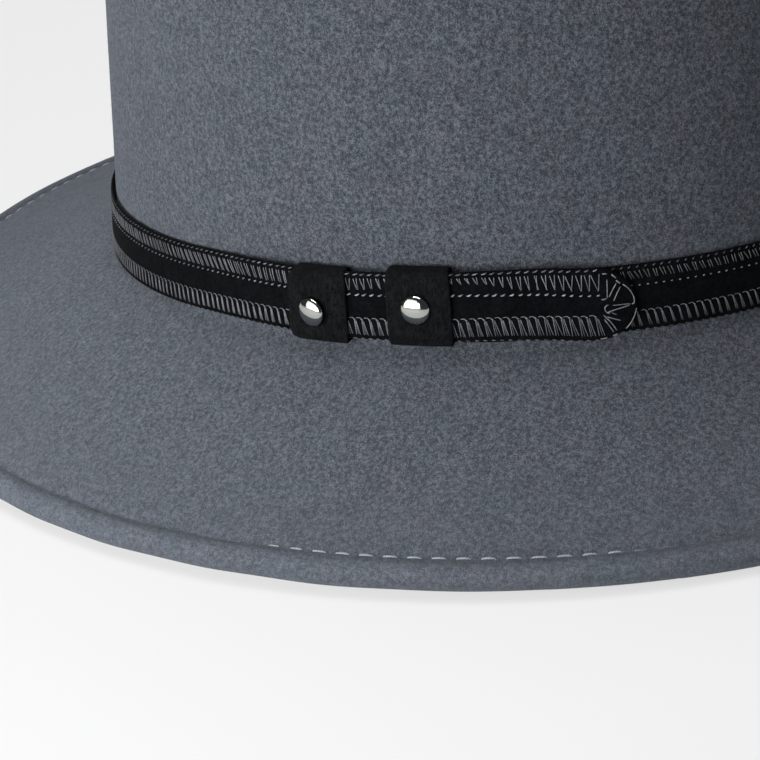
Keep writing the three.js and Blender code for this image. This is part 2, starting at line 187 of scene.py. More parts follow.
class HatColours(PropertyGroup):
    felt: colour("Felt", (0.0512, 0.0594, 0.0712), "Grey felt")
    felt_warm: colour("Warm felt", (0.0539, 0.0578, 0.0690), "Felt where its fibres look warmer")
    fibre: colour("Fibre", (0.20, 0.215, 0.24), "Loose pale fibres")
    hem_thread: colour("Hem thread", (0.24, 0.265, 0.30), "Thread of the hem")
    seam_thread: colour("Seam thread", (0.12, 0.125, 0.14), "Thread of the strap's seams")
    suede: colour("Suede", (0.0017, 0.0020, 0.0023), "Black suede of the strap")
    keeper: colour("Keeper suede", (0.0034, 0.0040, 0.0042), "Black suede of the keepers")
    nickel: colour("Nickel", (0.42, 0.43, 0.405), "Polished nickel")
    floor: colour("Floor", (0.15, 0.15, 0.152), "Pale floor, without its glow")


class StageSettings(PropertyGroup):
    camera_place: FloatVectorProperty(
        name="Camera place",
        description="Where the camera stands",
        default=(0.47058, 0.19452, 0.24646),
        subtype="TRANSLATION",
        unit="LENGTH",
        precision=5,
    )
    camera_heading: angle_of("Heading", 116.176, "Turn of the view from the front, towards the left side")
    camera_pitch: angle_of("Pitch", 27.848, "How far the view looks down")
    camera_roll: angle_of("Roll", -7.082, "Turn of the picture about the view")
    camera_lens: share("Lens", 104.5, "Focal length in millimetres on a 36 mm sensor")
    floor_radius: length("Floor radius", 4.0, "Radius of the pale floor")
    floor_middle: FloatVectorProperty(
        name="Floor middle",
        description="Middle of the floor's glow",
        default=(0.0, -0.10, -0.0001),
        unit="LENGTH",
    )
    sky: share("Sky", 0.06, "Strength of the light from all round")
    key: share("Key", 4.0, "Power of the wide light on the left, in watts")
    strip: share("Strip", 1.74, "Power of the low strip light near the brim, in watts")
    back: share("Back", 8.2, "Power of the light high behind the hat, in watts")
    top: share("Top", 7.6, "Power of the light overhead, in watts")
    # Glow: painted light; the floor gives light round the hat, which lifts its shadows and lights the hat
    # from below.
    glow: share("Glow", 0.627, "Light that the floor itself gives, as on a lit table")


# Forms: the hat's surfaces, worked out from the sizes

# The strap's course, a row for each section: angle from the front in degrees, lower and upper edge above
# the band line in millimetres, and how many layers of strap lie under it
COURSE = (
    (88, 0.4, 15.1, 0),
    (110, -0.1, 15.0, 0),
    (125, -0.1, 14.8, 0),
    (142, -0.2, 14.7, 0),
    (230, -0.2, 14.8, 0),
    (395, -1.5, 13.8, 0),
    (410, -1.1, 14.2, 0),
    (425, -0.3, 14.9, 0),
    (437, 0.6, 15.7, 0.5),
    (446, 0.5, 15.8, 1),
    (460, 0.7, 16.3, 1),
    (466, 0.9, 16.6, 1),
    (472, 0.3, 16.4, 1),
    (479, -0.8, 15.6, 1),
)
COURSE_ANGLE, COURSE_LOW, COURSE_HIGH, COURSE_LAYER = np.array(COURSE, float).T
TIP_ANGLE, TIP_LOW, TIP_HIGH = 484.2, 7.1, 7.3
TRIM_START, TRIM_FULL, TRIM_END, TRIM_STOP = 64, 78, 104, 116  # angles between which the keepers' backs fit
MM = 0.001
STRAP_MIDDLE = 8 * MM  # above the band line: lengths along the strap are measured here

# The keepers, a row for each: name, angle, lower and upper edge, how far the corners on the left and on the
# right are drawn in, then the rivet's angle, height, lean to the left and lean down; degrees and millimetres
KEEPERS = (
    ("front", 84.35, -0.1, 15.4, 1.5, 0.4, 83.95, 6.9, 11.0, 3.0),
    ("rear", 97.65, 0.4, 16.4, 0.3, 0.3, 97.4, 8.8, 1.5, 0.0),
)

# How far the seams reach in from the strap's edges: angle, upper seam and lower seam in millimetres
SEAM_REACH = (
    (88, 5.0, 4.6),
    (119, 4.5, 4.3),
    (200, 4.6, 4.4),
    (395, 4.8, 4.4),
    (434, 4.9, 4.4),
    (446, 5.0, 4.6),
    (463, 5.0, 4.9),
    (472, 5.5, 5.3),
    (479, 6.0, 5.6),
)


def smooth(x, low, high):
    k = np.clip((x - low) / (high - low), 0, 1)
    return k * k * (3 - 2 * k)


def mix(a, b, k):
    return a + (b - a) * k


def bell(x, width):
    return np.exp(-((x / width) ** 2))


def unit(vectors):
    return vectors / np.linalg.norm(vectors, axis=-1, keepdims=True)


def square_to(axis):
    """Two directions square to an axis: a level one, and one on its upper side."""
    side = np.cross([0.0, 0.0, 1.0], axis)
    side = unit(side) if np.linalg.norm(side) > 0.01 else np.array([1.0, 0.0, 0.0])
    return side, np.cross(axis, side)


def column_slopes(values):
    """Slopes of a column of the course at its rows: none where it turns, so that nothing overshoots."""
    steps = np.diff(values) / np.diff(COURSE_ANGLE)
    left, right = steps[:-1], steps[1:]
    inner = np.where(left * right > 0, 2 * left * right / (left + right + 1e-12), 0)
    return np.concatenate([[0], inner, [0]])


def eased(angle, values):
    """A column of the strap's course between its rows, on a smooth curve through them."""
    i = np.clip(np.searchsorted(COURSE_ANGLE, angle), 1, len(COURSE_ANGLE) - 1)
    first, last = COURSE_ANGLE[i - 1], COURSE_ANGLE[i]
    k = np.clip((angle - first) / (last - first), 0, 1)
    slopes = column_slopes(values)
    leave = k * (1 - k) ** 2 * slopes[i - 1]
    arrive = k**2 * (1 - k) * slopes[i]
    return mix(values[i - 1], values[i], smooth(k, 0, 1)) + (last - first) * (leave - arrive)


def band_line(angle):
    b = bpy.context.scene.hat_brim
    t = np.radians(angle)
    return b.band_height + b.front_tilt * np.cos(t) - b.side_rise * np.cos(2 * t)


def oval_normal(angle, inset=0.0):
    c = bpy.context.scene.hat_crown
    t = np.radians(angle)
    n = np.stack([np.sin(t) / (c.half_width - inset), -np.cos(t) / (c.half_length - inset)], -1)
    return unit(n)


def beside_oval(angle, inset, out, z):
    """Points beside an oval: inset shrinks the oval, out moves off it along its normal."""
    c = bpy.context.scene.hat_crown
    angle, inset, out, z = np.broadcast_arrays(angle, inset, out, z)
    t = np.radians(angle)
    n = oval_normal(angle, inset)
    x = (c.half_width - inset) * np.sin(t) + out * n[..., 0]
    y = c.centre_y - (c.half_length - inset) * np.cos(t) + out * n[..., 1]
    return np.stack([x, y, z], -1)


def beside_wall(angle, height, out=0.0):
    c = bpy.context.scene.hat_crown
    return beside_oval(angle, c.taper * height, out, band_line(angle) + height)


def wall_normal(angle):
    c = bpy.context.scene.hat_crown
    flat = oval_normal(angle)
    n = np.concatenate([flat, np.full(flat.shape[:-1] + (1,), c.taper)], -1)
    return unit(n)


def dent(points, height):
    """Moves points of the plain crown by the front pinches and the long crease."""
    c = bpy.context.scene.hat_crown
    x, y, z = points[..., 0], points[..., 1], points[..., 2]
    beside = ((np.abs(x) - c.pinch_x) ** 2 + (y - c.pinch_y) ** 2) / c.pinch_spread**2
    pinch = c.pinch_depth * np.exp(-beside) * bell(height - c.pinch_height, c.pinch_reach)
    across = bell(x, c.crease_half_width)
    along = np.exp(-(((y - c.centre_y - c.crease_back) / c.crease_half_length) ** 4))
    full = c.wall_height + c.shoulder_height
    top = smooth(height, c.wall_height + c.crease_start * c.shoulder_height, full)
    down = c.pinch_down * pinch + c.crease_depth * across * along * top
    return np.stack([x - np.sign(x) * pinch, y + c.pinch_back * pinch, z - down], -1)


def crown_points(angle, k):
    """Outside of the crown: k is 0 in its middle, 1 and 2 at the top of shoulder and wall, 3 at the band."""
    c = bpy.context.scene.hat_crown
    b = bpy.context.scene.hat_brim
    full = c.wall_height + c.shoulder_height
    scale = 1.0
    if k >= 2:
        height = c.wall_height * (3 - k)
        inset = c.taper * height
    else:
        turn = max(k - 1, 0) * math.pi / 2
        power = 2 / c.shoulder_power
        height = c.wall_height + c.shoulder_height * math.cos(turn) ** power
        inset = c.taper * height + c.shoulder_inset * (1 - math.sin(turn) ** power)
        scale = min(k, 1.0)
    up = smooth(height, 0, full)
    rim = beside_oval(angle, inset, 0.0, 0.0)
    level = mix(band_line(angle), b.band_height, up)
    rise = c.front_rise * np.cos(np.radians(angle)) * scale * up
    z = level + height + rise + c.top_dome * (1 - scale**2)
    plain = np.stack([rim[:, 0] * scale, c.centre_y + (rim[:, 1] - c.centre_y) * scale, z], -1)
    return dent(plain, height)


def inner_crown(angle, k):
    step = 0.01
    around = crown_points(angle + 1, k) - crown_points(angle - 1, k)
    down = crown_points(angle, min(k + step, 3)) - crown_points(angle, max(k - step, 2 * step))
    return crown_points(angle, k) - bpy.context.scene.hat_brim.felt * unit(np.cross(down, around))


class BrimSection:
    """The brim in a section at each angle: distance out from the crown's oval, and height."""

    def __init__(self, angle):
        self.size = bpy.context.scene.hat_brim
        b = self.size
        t = np.radians(angle)
        self.angle = angle
        self.root = np.stack([np.zeros_like(t), band_line(angle) - b.break_drop], -1)
        reach = b.reach + b.front_reach * np.cos(t) + b.length_reach * np.cos(2 * t)
        height = b.edge_height + b.side_lift * (1 - np.cos(2 * t)) / 2
        self.roll = np.stack([reach, height], -1)
        slope = np.arctan2(self.root[:, 1] - height, reach)
        self.along = np.stack([np.cos(slope), -np.sin(slope)], -1)
        self.up = np.stack([np.sin(slope), np.cos(slope)], -1)
        rim = self.roll + self.up * b.hem / 2
        line = rim - self.root
        self.length = np.linalg.norm(line, axis=-1)
        self.line = line / self.length[:, None]
        self.lift = np.stack([-self.line[:, 1], self.line[:, 0]], -1)

    def place(self, section):
        """Section points as points of the hat; felt lies flat where it rests."""
        return beside_oval(self.angle, 0.0, section[:, 0], np.maximum(section[:, 1], 0))

    def top(self, inward, lift=0.0):
        """Top of the brim at a distance inward from the hem's outer edge."""
        reach = self.length + self.size.hem / 2
        u = 1 - inward / reach
        sag = self.size.sag * np.sin(math.pi * np.minimum(u, 1))
        return self.root + self.line * (u * reach)[:, None] + self.lift * np.reshape(lift - sag, (-1, 1))

    def corner(self, k, offset):
        """Corner between wall and brim, rounded by a quadratic curve."""
        b = self.size
        shift = np.array([-b.break_back * offset, -b.break_down * offset])
        first = np.stack([np.full(len(self.root), -offset), self.root[:, 1] + b.break_wall], -1)
        last = self.root + self.line * b.break_brim - self.lift * offset
        middle = self.root + shift
        return first * (1 - k) ** 2 + middle * 2 * k * (1 - k) + last * k**2

    def rolled(self, turn):
        """Round the rolled edge; turn is 90 degrees on top."""
        t = math.radians(turn)
        return self.roll + (self.along * math.cos(t) + self.up * math.sin(t)) * self.size.hem / 2


# How much of the hem's stitches shows above the nap: angle, and share
STITCHES_SHOW = (
    (30, 1.0),
    (45, 0.05),
    (86.6, 0.05),
    (88.6, 1.0),
    (117.6, 1.0),
    (119.4, 0.12),
    (150, 0.12),
    (165, 1.0),
)


def lengths_along(points):
    steps = np.linalg.norm(np.diff(points, axis=0), axis=-1)
    return np.concatenate([[0.0], np.cumsum(steps)])


class HemStitches:
    """Places of the hem's stitches round the brim, evenly spaced."""

    def __init__(self):
        self.size = bpy.context.scene.hat_hem_stitches
        s = self.size
        self.grid = np.linspace(0, ROUND, 2881)
        section = BrimSection(self.grid)
        self.run = lengths_along(section.place(section.top(s.line)))
        self.count = round(self.run[-1] / s.pitch)
        self.pitch = self.run[-1] / self.count

    def to_nearest_hole(self, angle):
        """Distance along the seam to the nearest needle hole."""
        place = np.interp(angle, self.grid, self.run) / self.pitch - self.size.start
        half_dash = self.size.dash / self.pitch / 2
        phase = np.mod(place, 1.0)
        first = np.minimum(np.abs(phase - half_dash), 1 - np.abs(phase - half_dash))
        second = np.minimum(np.abs(phase - 1 + half_dash), 1 - np.abs(phase - 1 + half_dash))
        return np.minimum(first, second) * self.pitch

    def lift(self, angle, inward):
        """How far the seam moves the felt's surface."""
        s = self.size
        groove = s.groove * bell(inward - s.line, s.groove_width)
        hole = s.hole * bell(inward - s.line, s.hole_width) * bell(self.to_nearest_hole(angle), s.hole_width)
        puff = s.puff * bell(inward - s.line * 0.5, s.line * 0.36)
        return puff - groove - hole

    def angles(self, shares):
        """Angles of each stitch at shares of its dash, from 0 to 1."""
        middle = np.arange(self.count)[:, None] + self.size.start
        place = middle * self.pitch + (np.asarray(shares)[None, :] - 0.5) * self.size.dash
        return np.interp(np.mod(place, self.run[-1]), self.run, self.grid)


def stand_off(angle):
    """Distance from the felt to the strap's first layer: it makes room for the keepers' backs."""
    s = bpy.context.scene.hat_strap
    a = np.mod(angle, ROUND)
    near = smooth(a, TRIM_START, TRIM_FULL) * (1 - smooth(a, TRIM_END, TRIM_STOP))
    return s.gap + near * (s.keeper_thickness + s.gap)


def strap_edges(angle):
    """Lower and upper edge of the strap, with its rounded tip."""
    angle = np.asarray(angle, float)
    low = eased(angle, COURSE_LOW)
    high = eased(angle, COURSE_HIGH)
    past = np.clip((angle - COURSE_ANGLE[-1]) / (TIP_ANGLE - COURSE_ANGLE[-1]), 0, 1)
    half = np.sqrt(1 - past**2)
    return mix(TIP_LOW, low, half) * MM, mix(TIP_HIGH, high, half) * MM


def edge_fall(d, reach, depth):
    """How far a rounded edge falls away at a distance d from it."""
    k = 1 - np.clip(d / reach, 0, 1)
    return depth * (1 - np.sqrt(1 - k**2))


def strap_inside(angle):
    s = bpy.context.scene.hat_strap
    return stand_off(angle) + eased(angle, COURSE_LAYER) * (s.thickness + s.gap)


def strap_face(angle, height):
    """Distance of the strap's face from the felt, at an angle and height."""
    s = bpy.context.scene.hat_strap
    low, high = strap_edges(angle)
    d = np.minimum(height - low, high - height)
    return strap_inside(angle) + s.thickness - edge_fall(d, s.edge, s.thickness / 2)


# Meshes


def add_object(name, points, faces, material, replaces=(), uvs=None, tones=None):
    """A smooth shaded piece that rides on the hat; tones lighten or darken its colour at each point, painted
    light and shade among them.
    """
    mesh = bpy.data.meshes.new(name)
    mesh.from_pydata(np.asarray(points).tolist(), [], faces)
    if uvs is not None:
        layer = mesh.uv_layers.new(name="UVMap")
        layer.data.foreach_set("uv", np.asarray(uvs, np.float32).ravel())
    if tones is not None:
        mesh.attributes.new("tone", "FLOAT", "POINT").data.foreach_set("value", np.asarray(tones, np.float32))
    mesh.shade_smooth()
    mesh.materials.append(material)
    mesh.update()
    obj = bpy.data.objects.new(name, mesh)
    bpy.context.scene.collection.objects.link(obj)
    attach(obj, BODY)
    if replaces:
        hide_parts(*replaces)
    return obj


def join_rings(rings):
    """Faces between closed rings. Neighbouring rings have as many points, or one has twice as many."""
    faces = []
    starts = np.concatenate([[0], np.cumsum([len(r) for r in rings])])
    for row in range(len(rings) - 1):
        a, b = int(starts[row]), int(starts[row + 1])
        n, m = len(rings[row]), len(rings[row + 1])
        for i in range(min(n, m)):
            j = (i + 1) % min(n, m)
            if n == m:
                faces.append((a + i, b + i, b + j, a + j))
            elif m == 2 * n:
                faces.append((a + i, b + 2 * i, b + 2 * i + 1))
                faces.append((a + i, b + 2 * i + 1, a + j))
                faces.append((a + j, b + 2 * i + 1, b + 2 * j))
            else:
                faces.append((a + 2 * i, b + i, a + 2 * i + 1))
                faces.append((a + 2 * i + 1, b + i, b + j))
                faces.append((a + 2 * i + 1, b + j, a + 2 * j))
    return faces


def close_rings(rings):
    """Points and faces of rings whose ends are each closed by a point."""
    faces = join_rings(rings)
    points = np.concatenate(rings)
    first, last = len(points), len(points) + 1
    start = len(points) - len(rings[-1])
    n, m = len(rings[0]), len(rings[-1])
    faces += [(first, i, (i + 1) % n) for i in range(n)]
    faces += [(last, start + (i + 1) % m, start + i) for i in range(m)]
    points = np.concatenate([points, [rings[0].mean(0)], [rings[-1].mean(0)]])
    return points, faces


def tubes(centres, radii, normals, sides):
    """Closed tubes, one for each row of centres, with u along and v round each."""
    tangents = unit(np.gradient(centres, axis=1))
    across = unit(np.cross(tangents, normals))
    up = np.cross(across, tangents)
    turn = 2 * math.pi * np.arange(sides) / sides
    spoke = np.cos(turn)[:, None] * up[:, :, None] + np.sin(turn)[:, None] * across[:, :, None]
    points = centres[:, :, None] + radii[:, :, None, None] * spoke
    count, sections = centres.shape[:2]
    along = np.zeros((count, sections))
    along[:, 1:] = np.cumsum(np.linalg.norm(np.diff(centres, axis=1), axis=-1), axis=1)
    faces = []
    uvs = []
    for tube in range(count):
        base = tube * sections * sides
        for m in range(sections - 1):
            for a in range(sides):
                b = (a + 1) % sides
                here, there = base + m * sides, base + (m + 1) * sides
                faces.append((here + a, here + b, there + b, there + a))
                u0, u1 = along[tube, m] / MM, along[tube, m + 1] / MM
                v0, v1 = a / sides, (a + 1) / sides
                uvs += [(u0, v0), (u0, v1), (u1, v1), (u1, v0)]
        end = base + (sections - 1) * sides
        faces.append(tuple(base + a for a in reversed(range(sides))))
        faces.append(tuple(end + a for a in range(sides)))
        uvs += [(0.0, 0.0)] * (2 * sides)
    return points.reshape(-1, 3), faces, uvs


def merge_tubes(parts):
    """Several lots of tubes, each with its points' tones, as one."""
    points, faces, uvs, tones = [], [], [], []
    start = 0
    for (p, f, u), tone in parts:
        points.append(p)
        faces += [tuple(i + start for i in face) for face in f]
        uvs += u
        tones.append(np.broadcast_to(tone, len(p)))
        start += len(p)
    return np.concatenate(points), faces, uvs, np.concatenate(tones)


# Felt

FELT_SEED, SEAM_SEED = 5, 23
COARSE_AROUND = 640
FINE_AROUND = 1280
TOP_ROWS = (0.05, 0.14, 0.24, 0.34, 0.44, 0.53, 0.62, 0.70, 0.78, 0.85, 0.92, 1.0)
SHOULDER_ROWS = (1.08, 1.17, 1.26, 1.35, 1.44, 1.53, 1.62, 1.71, 1.80, 1.88, 1.95)
WALL_ROWS = (2.04, 2.18, 2.34, 2.50, 2.66, 2.80, 2.92)
BRIM_ROWS_MM = (51, 47, 43, 39, 35, 31, 27, 23, 19.5, 16.5, 14, 12.2)
HEM_ROWS_MM = (11, 10, 9.2, 8.6, 8.1, 7.7, 7.4, 7.1, 6.8, 6.5, 6.2, 5.9, 5.5, 5.0, 4.4, 3.7, 2.9)
ROLL_TURNS = (78, 66, 54, 42, 30, 18, 6, -6, -18, -30, -44, -58, -74, -90)
UNDER_HEM_MM = (3.2, 4.4, 5.4, 6.0, 6.5, 7.0, 7.7, 8.6)
UNDER_BRIM_MM = (12, 16, 22, 30, 38, 46)
INNER_ROWS = (2.92, 2.6, 2.3, 2.0, 1.85, 1.65, 1.45, 1.25, 1.05, 0.85, 0.6, 0.35, 0.08)
OUTER_CORNER = (0, 0.2, 0.4, 0.6, 0.8, 1.0)
INNER_CORNER = (1.0, 0.7, 0.4, 0.0)
ROLL_TONE_AT = 2 * MM  # the rolled edge gets the hem's painted light, as at this distance from it


def waver(points, reach, seed):
    """Slow sideways straying of the felt, from a few seeded waves; reach sets how far it strays."""
    rng = np.random.default_rng(seed)
    shift = np.zeros_like(points)
    for _ in range(9):
        wave = rng.normal(size=3) * 2 * math.pi / rng.uniform(0.03, 0.09)
        phase = rng.uniform(0, 2 * math.pi)
        shift += np.sin(points @ wave + phase)[:, None] * rng.normal(size=3) / 3
    return points + shift * reach


def felt_rings():
    """Rings of the felt from the crown's middle over the hem to its inside, and a tone for each point, which
    carries the hem's painted shade and light.
    """
    b = bpy.context.scene.hat_brim
    seam = HemStitches()
    coarse = np.arange(COARSE_AROUND) * ROUND / COARSE_AROUND
    fine = np.arange(FINE_AROUND) * ROUND / FINE_AROUND
    wide, dense = BrimSection(coarse), BrimSection(fine)
    rings = [crown_points(coarse, k) for k in TOP_ROWS + SHOULDER_ROWS + WALL_ROWS]
    rings += [wide.place(wide.corner(k, 0.0)) for k in OUTER_CORNER]
    rings += [wide.place(wide.top(inward * MM, seam.lift(coarse, inward * MM))) for inward in BRIM_ROWS_MM]
    tones = [1.0] * len(rings)
    rings += [dense.place(dense.top(inward * MM, seam.lift(fine, inward * MM))) for inward in HEM_ROWS_MM]
    # The hem and the roll's top get painted shade in the furrow and painted light towards the edge
    tones += [hem_tone(inward * MM) for inward in HEM_ROWS_MM]
    rings += [dense.place(dense.rolled(turn)) for turn in ROLL_TURNS]
    tones += [mix(1.0, hem_tone(ROLL_TONE_AT), smooth(turn, -30, 40)) for turn in ROLL_TURNS]
    for inward in UNDER_HEM_MM:
        pulled = np.minimum(seam.lift(fine, inward * MM), 0)
        rings.append(dense.place(dense.top(inward * MM, -b.hem - pulled)))
    for step, under in ((0, b.hem), (b.hem_step / 2, (b.hem + b.felt) / 2), (b.hem_step, b.felt)):
        rings.append(wide.place(wide.top(b.hem_width + step, -under)))
    rings += [wide.place(wide.top(inward * MM, -b.felt)) for inward in UNDER_BRIM_MM]
    rings += [wide.place(wide.corner(k, b.felt)) for k in INNER_CORNER]
    rings += [inner_crown(coarse, k) for k in INNER_ROWS]
    tones += [1.0] * (len(rings) - len(tones))
    spread = [np.full(len(ring), tone) for ring, tone in zip(rings, tones)]
    return rings, np.concatenate(spread + [[1.0, 1.0]])


def hem_tone(inward):
    """The felt is painted darker in the furrow outside the stitches, as painted shade, and paler towards the
    edge, as painted light.
    """
    s = bpy.context.scene.hat_hem_stitches
    furrow = s.furrow * bell(inward - s.line + s.furrow_offset, s.furrow_width)
    return 1 - furrow + s.painted_edge_light * (1 - smooth(inward, 1.5 * MM, s.line - 1.5 * MM))


OUTSIDE_SHARE = 0.62  # share of the felt's triangles, in their order, that lie on its outside
FIBRE_LEAN = (8, 55)  # degrees from the felt at which a loose fibre stands off
FIBRE_BEND = 0.35  # sideways bend of a loose fibre, as a share of its length


def scattered_spots(mesh, count, rng):
    """Spots spread evenly over the outside of a mesh, and its normals there."""
    mesh.calc_loop_triangles()
    corners = np.zeros(len(mesh.loop_triangles) * 3, np.int32)
    mesh.loop_triangles.foreach_get("vertices", corners)
    places = np.zeros(len(mesh.vertices) * 3)
    mesh.vertices.foreach_get("co", places)
    first, second, third = places.reshape(-1, 3)[corners.reshape(-1, 3)].swapaxes(0, 1)
    normal = np.cross(second - first, third - first)
    outside = np.arange(len(normal)) < len(normal) * OUTSIDE_SHARE
    weight = np.where(outside, np.linalg.norm(normal, axis=1), 0.0)
    picked = rng.choice(len(normal), count, p=weight / weight.sum())
    a, b = rng.random(count), rng.random(count)
    over = a + b > 1
    a[over], b[over] = 1 - a[over], 1 - b[over]
    spots = first[picked] + a[:, None] * (second - first)[picked] + b[:, None] * (third - first)[picked]
    return spots, unit(normal[picked])


# Operators


class FELTHAT_OT_felt(Operator):
    """Add the felt body with its dented crown, turned-down brim and stitched hem"""

    bl_idname = "felthat.felt"
    bl_label = "Felt body"

    def execute(self, context):
        rings, tones = felt_rings()
        points, faces = close_rings(rings)
        above = points[:, 2] > MM
        points[above] = waver(points[above], context.scene.hat_brim.waver, seed=FELT_SEED)
        add_object("felt_shell", points, faces, felt_material(), replaces=("felt_body",), tones=tones)
        return {"FINISHED"}


class FELTHAT_OT_hem_stitches(Operator):
    """Add the hem's stitches, on top of the brim and under it"""

    bl_idname = "felthat.hem_stitches"
    bl_label = "Hem stitches"

    def execute(self, context):
        s = context.scene.hat_hem_stitches
        b = context.scene.hat_brim
        seam = HemStitches()
        material = thread_material("Hem thread", context.scene.hat_colours.hem_thread, 0.5, 0.15)
        shares = np.array((0.0, 0.08, 0.22, 0.5, 0.78, 0.92, 1.0))
        rise = np.array((-0.6, 0.0, 0.16, 0.2, 0.16, 0.0, -0.6)) * s.thread
        thick = np.array((0.55, 0.8, 0.95, 1.0, 0.95, 0.8, 0.55)) * s.thread / 2
        angles = seam.angles(shares)
        flat = angles.ravel()
        section = BrimSection(flat)
        shown = np.interp(angles, *np.array(STITCHES_SHOW).T)
        radii = thick * mix(0.75, 1.0, shown)
        sunk = (mix(-0.6, 0.0, shown) * s.thread).ravel()
        tone = mix(0.25, 0.85, shown).ravel().repeat(8)
        parts = []
        for base, sign in ((0.0, 1.0), (-b.hem, -1.0)):
            pulled = seam.lift(flat, s.line)
            lift = base + sign * (pulled + sunk + np.tile(rise, seam.count))
            centres = section.place(section.top(s.line, lift)).reshape(angles.shape + (3,))
            normals = np.broadcast_to(np.array([0.0, 0.0, sign]), centres.shape)
            parts.append((tubes(centres, radii, normals, 8), tone))
        points, faces, uvs, tones = merge_tubes(parts)
        add_object("hem_stitches", points, faces, material, uvs=uvs, tones=tones)
        return {"FINISHED"}


class FELTHAT_OT_nap(Operator):
    """Add the loose fibres that stand off the felt"""

    bl_idname = "felthat.nap"
    bl_label = "Loose fibres"

    def execute(self, context):
        n = context.scene.hat_nap
        rng = np.random.default_rng(n.seed)
        root, normal = scattered_spots(bpy.data.objects["felt_shell"].data, n.count, rng)
        loose = rng.normal(size=(n.count, 3))
        lay = unit(loose - normal * (loose * normal).sum(1)[:, None])
        size = mix(n.shortest, n.longest, rng.random(n.count) ** 2)[:, None]
        lean = np.radians(rng.uniform(*FIBRE_LEAN, n.count))[:, None]
        bend = rng.normal(scale=FIBRE_BEND, size=(n.count, 1))
        side = np.cross(normal, lay)
        centres = []
        for k in (0.0, 0.55, 1.0):
            rise = normal * np.sin(lean * (1 - 0.5 * k)) * size * k
            run = lay * np.cos(lean) * size * k
            centres.append(root + rise + run + side * bend * size * k**2)
        centres = np.stack(centres, 1)
        radii = np.broadcast_to(np.array((1.0, 0.8, 0.25)) * n.thickness / 2, (n.count, 3))
        normals = np.broadcast_to(normal[:, None], centres.shape)
        points, faces, uvs = tubes(centres, radii, normals, 3)
        points[:, 2] = np.maximum(points[:, 2], 0)
        add_object("felt_nap", points, faces, fibre_material(), uvs=uvs)
        return {"FINISHED"}


class FELTHAT_OT_strap(Operator):
    """Add the suede strap that runs round the crown and over itself"""

    bl_idname = "felthat.strap"
    bl_label = "Suede strap"

    def execute(self, context):
        s = context.scene.hat_strap
        start, stop = COURSE_ANGLE[0], COURSE_ANGLE[-1]
        grid = np.linspace(start, stop, 2400)
        run = lengths_along(beside_wall(grid, STRAP_MIDDLE, MM))
        angles = np.interp(np.arange(0, run[-1], s.step), run, grid)
        tip = stop + (TIP_ANGLE - stop) * np.sin(np.radians(np.arange(0, 90, 3)))
        angles = np.concatenate([angles, tip, [TIP_ANGLE - 0.002]])[:, None]
        low, high = strap_edges(angles)
        across = (1 - np.cos(np.linspace(0, math.pi, 33))) / 2
        across = mix(across, np.linspace(0, 1, 33), 0.6)
        front_height = mix(low, high, across)
        front = strap_face(angles, front_height) - seam_channel(angles, front_height)
        back_height = mix(high, low, np.linspace(0, 1, 9)[1:-1])
        d = np.minimum(back_height - low, high - back_height)
        back = strap_inside(angles) + edge_fall(d, s.edge / 2, s.thickness / 2)
        heights = np.concatenate([front_height, back_height], 1)
        outs = np.concatenate([front, back], 1)
        sections = beside_wall(angles, heights, outs)
        points, faces = close_rings(list(sections))
        material = suede_material("Strap suede", context.scene.hat_colours.suede, 0.0003, 0.3, 1.0)
        add_object("suede_strap", points, faces, material, replaces=("hat_strap",))
        return {"FINISHED"}


def seam_reach(angle):
    rows = np.array(SEAM_REACH)
    return [np.interp(angle, rows[:, 0], rows[:, k]) * MM for k in (1, 2)]


def seam_channel(angle, height):
    """How deep the seams' inner lines are pulled into the strap's face."""
    s = bpy.context.scene.hat_strap
    low, high = strap_edges(angle)
    straight = 1 - smooth(angle, COURSE_ANGLE[-1] - 1.5, COURSE_ANGLE[-1] + 1)
    upper, lower = seam_reach(angle)
    lines = bell(high - upper - height, 0.4 * MM) + bell(height - low - lower, 0.4 * MM)
    middle = bell(height - (low + high) / 2, 1.9 * MM)
    return straight * (s.channel * lines - 0.4 * s.channel * middle)


# The seams

SEAM_START = 119.0
UPPER_LAST = 479.55  # angle of the last whole stitch of each row, before the tip
LOWER_LAST = 478.92

# Shape of a stitch along the upper seam, a row for each place on the strap: angle, how far the left and the
# right leg lean in stitches, how far apart their feet are, the share of the seam that the legs cross, the
# length of the dashes on the inner line and on the edge as shares of their full length, and the tone
UPPER_SHAPE = (
    (119, 0.35, 0.00, 0.35, 0.68, 0.35, 0.45, 0.65),
    (200, 0.40, 0.00, 0.35, 0.75, 0.45, 0.60, 0.60),
    (390, 0.95, 0.60, 0.30, 0.84, 0.60, 0.70, 0.35),
    (415, 0.95, 0.60, 0.30, 0.84, 0.60, 0.70, 0.50),
    (428, 0.95, 0.60, 0.30, 0.86, 0.60, 0.75, 1.00),
    (433, 0.95, 0.60, 0.30, 0.86, 0.60, 0.75, 1.10),
    (436, 0.45, 0.05, 0.30, 0.86, 0.75, 0.80, 1.15),
    (447, 0.45, 0.00, 0.10, 0.86, 0.95, 0.95, 1.20),
    (462, 0.50, 0.05, 0.05, 0.50, 1.00, 1.00, 1.20),
    (466, 0.50, 0.05, 0.00, 0.55, 1.00, 1.00, 1.20),
    (470, 0.50, 0.07, 0.00, 0.84, 0.85, 0.90, 1.25),
    (479, 0.55, -0.25, 0.00, 0.86, 0.60, 0.80, 1.25),
)
# The same along the lower seam: angle, lean of the near and the far strand, thickness of the strands as a
# share of the thread, and their tone
LOWER_SHAPE = (
    (119, 0.25, 0.50, 1.20, 0.75),
    (200, 0.25, 0.50, 1.20, 0.60),
    (390, 0.22, 0.46, 1.25, 0.35),
    (415, 0.22, 0.46, 1.25, 0.50),
    (428, 0.24, 0.50, 1.25, 0.90),
    (440, 0.25, 0.60, 1.05, 1.05),
    (460, 0.24, 0.76, 0.85, 1.15),
    (479, 0.30, 0.95, 0.80, 1.15),
)

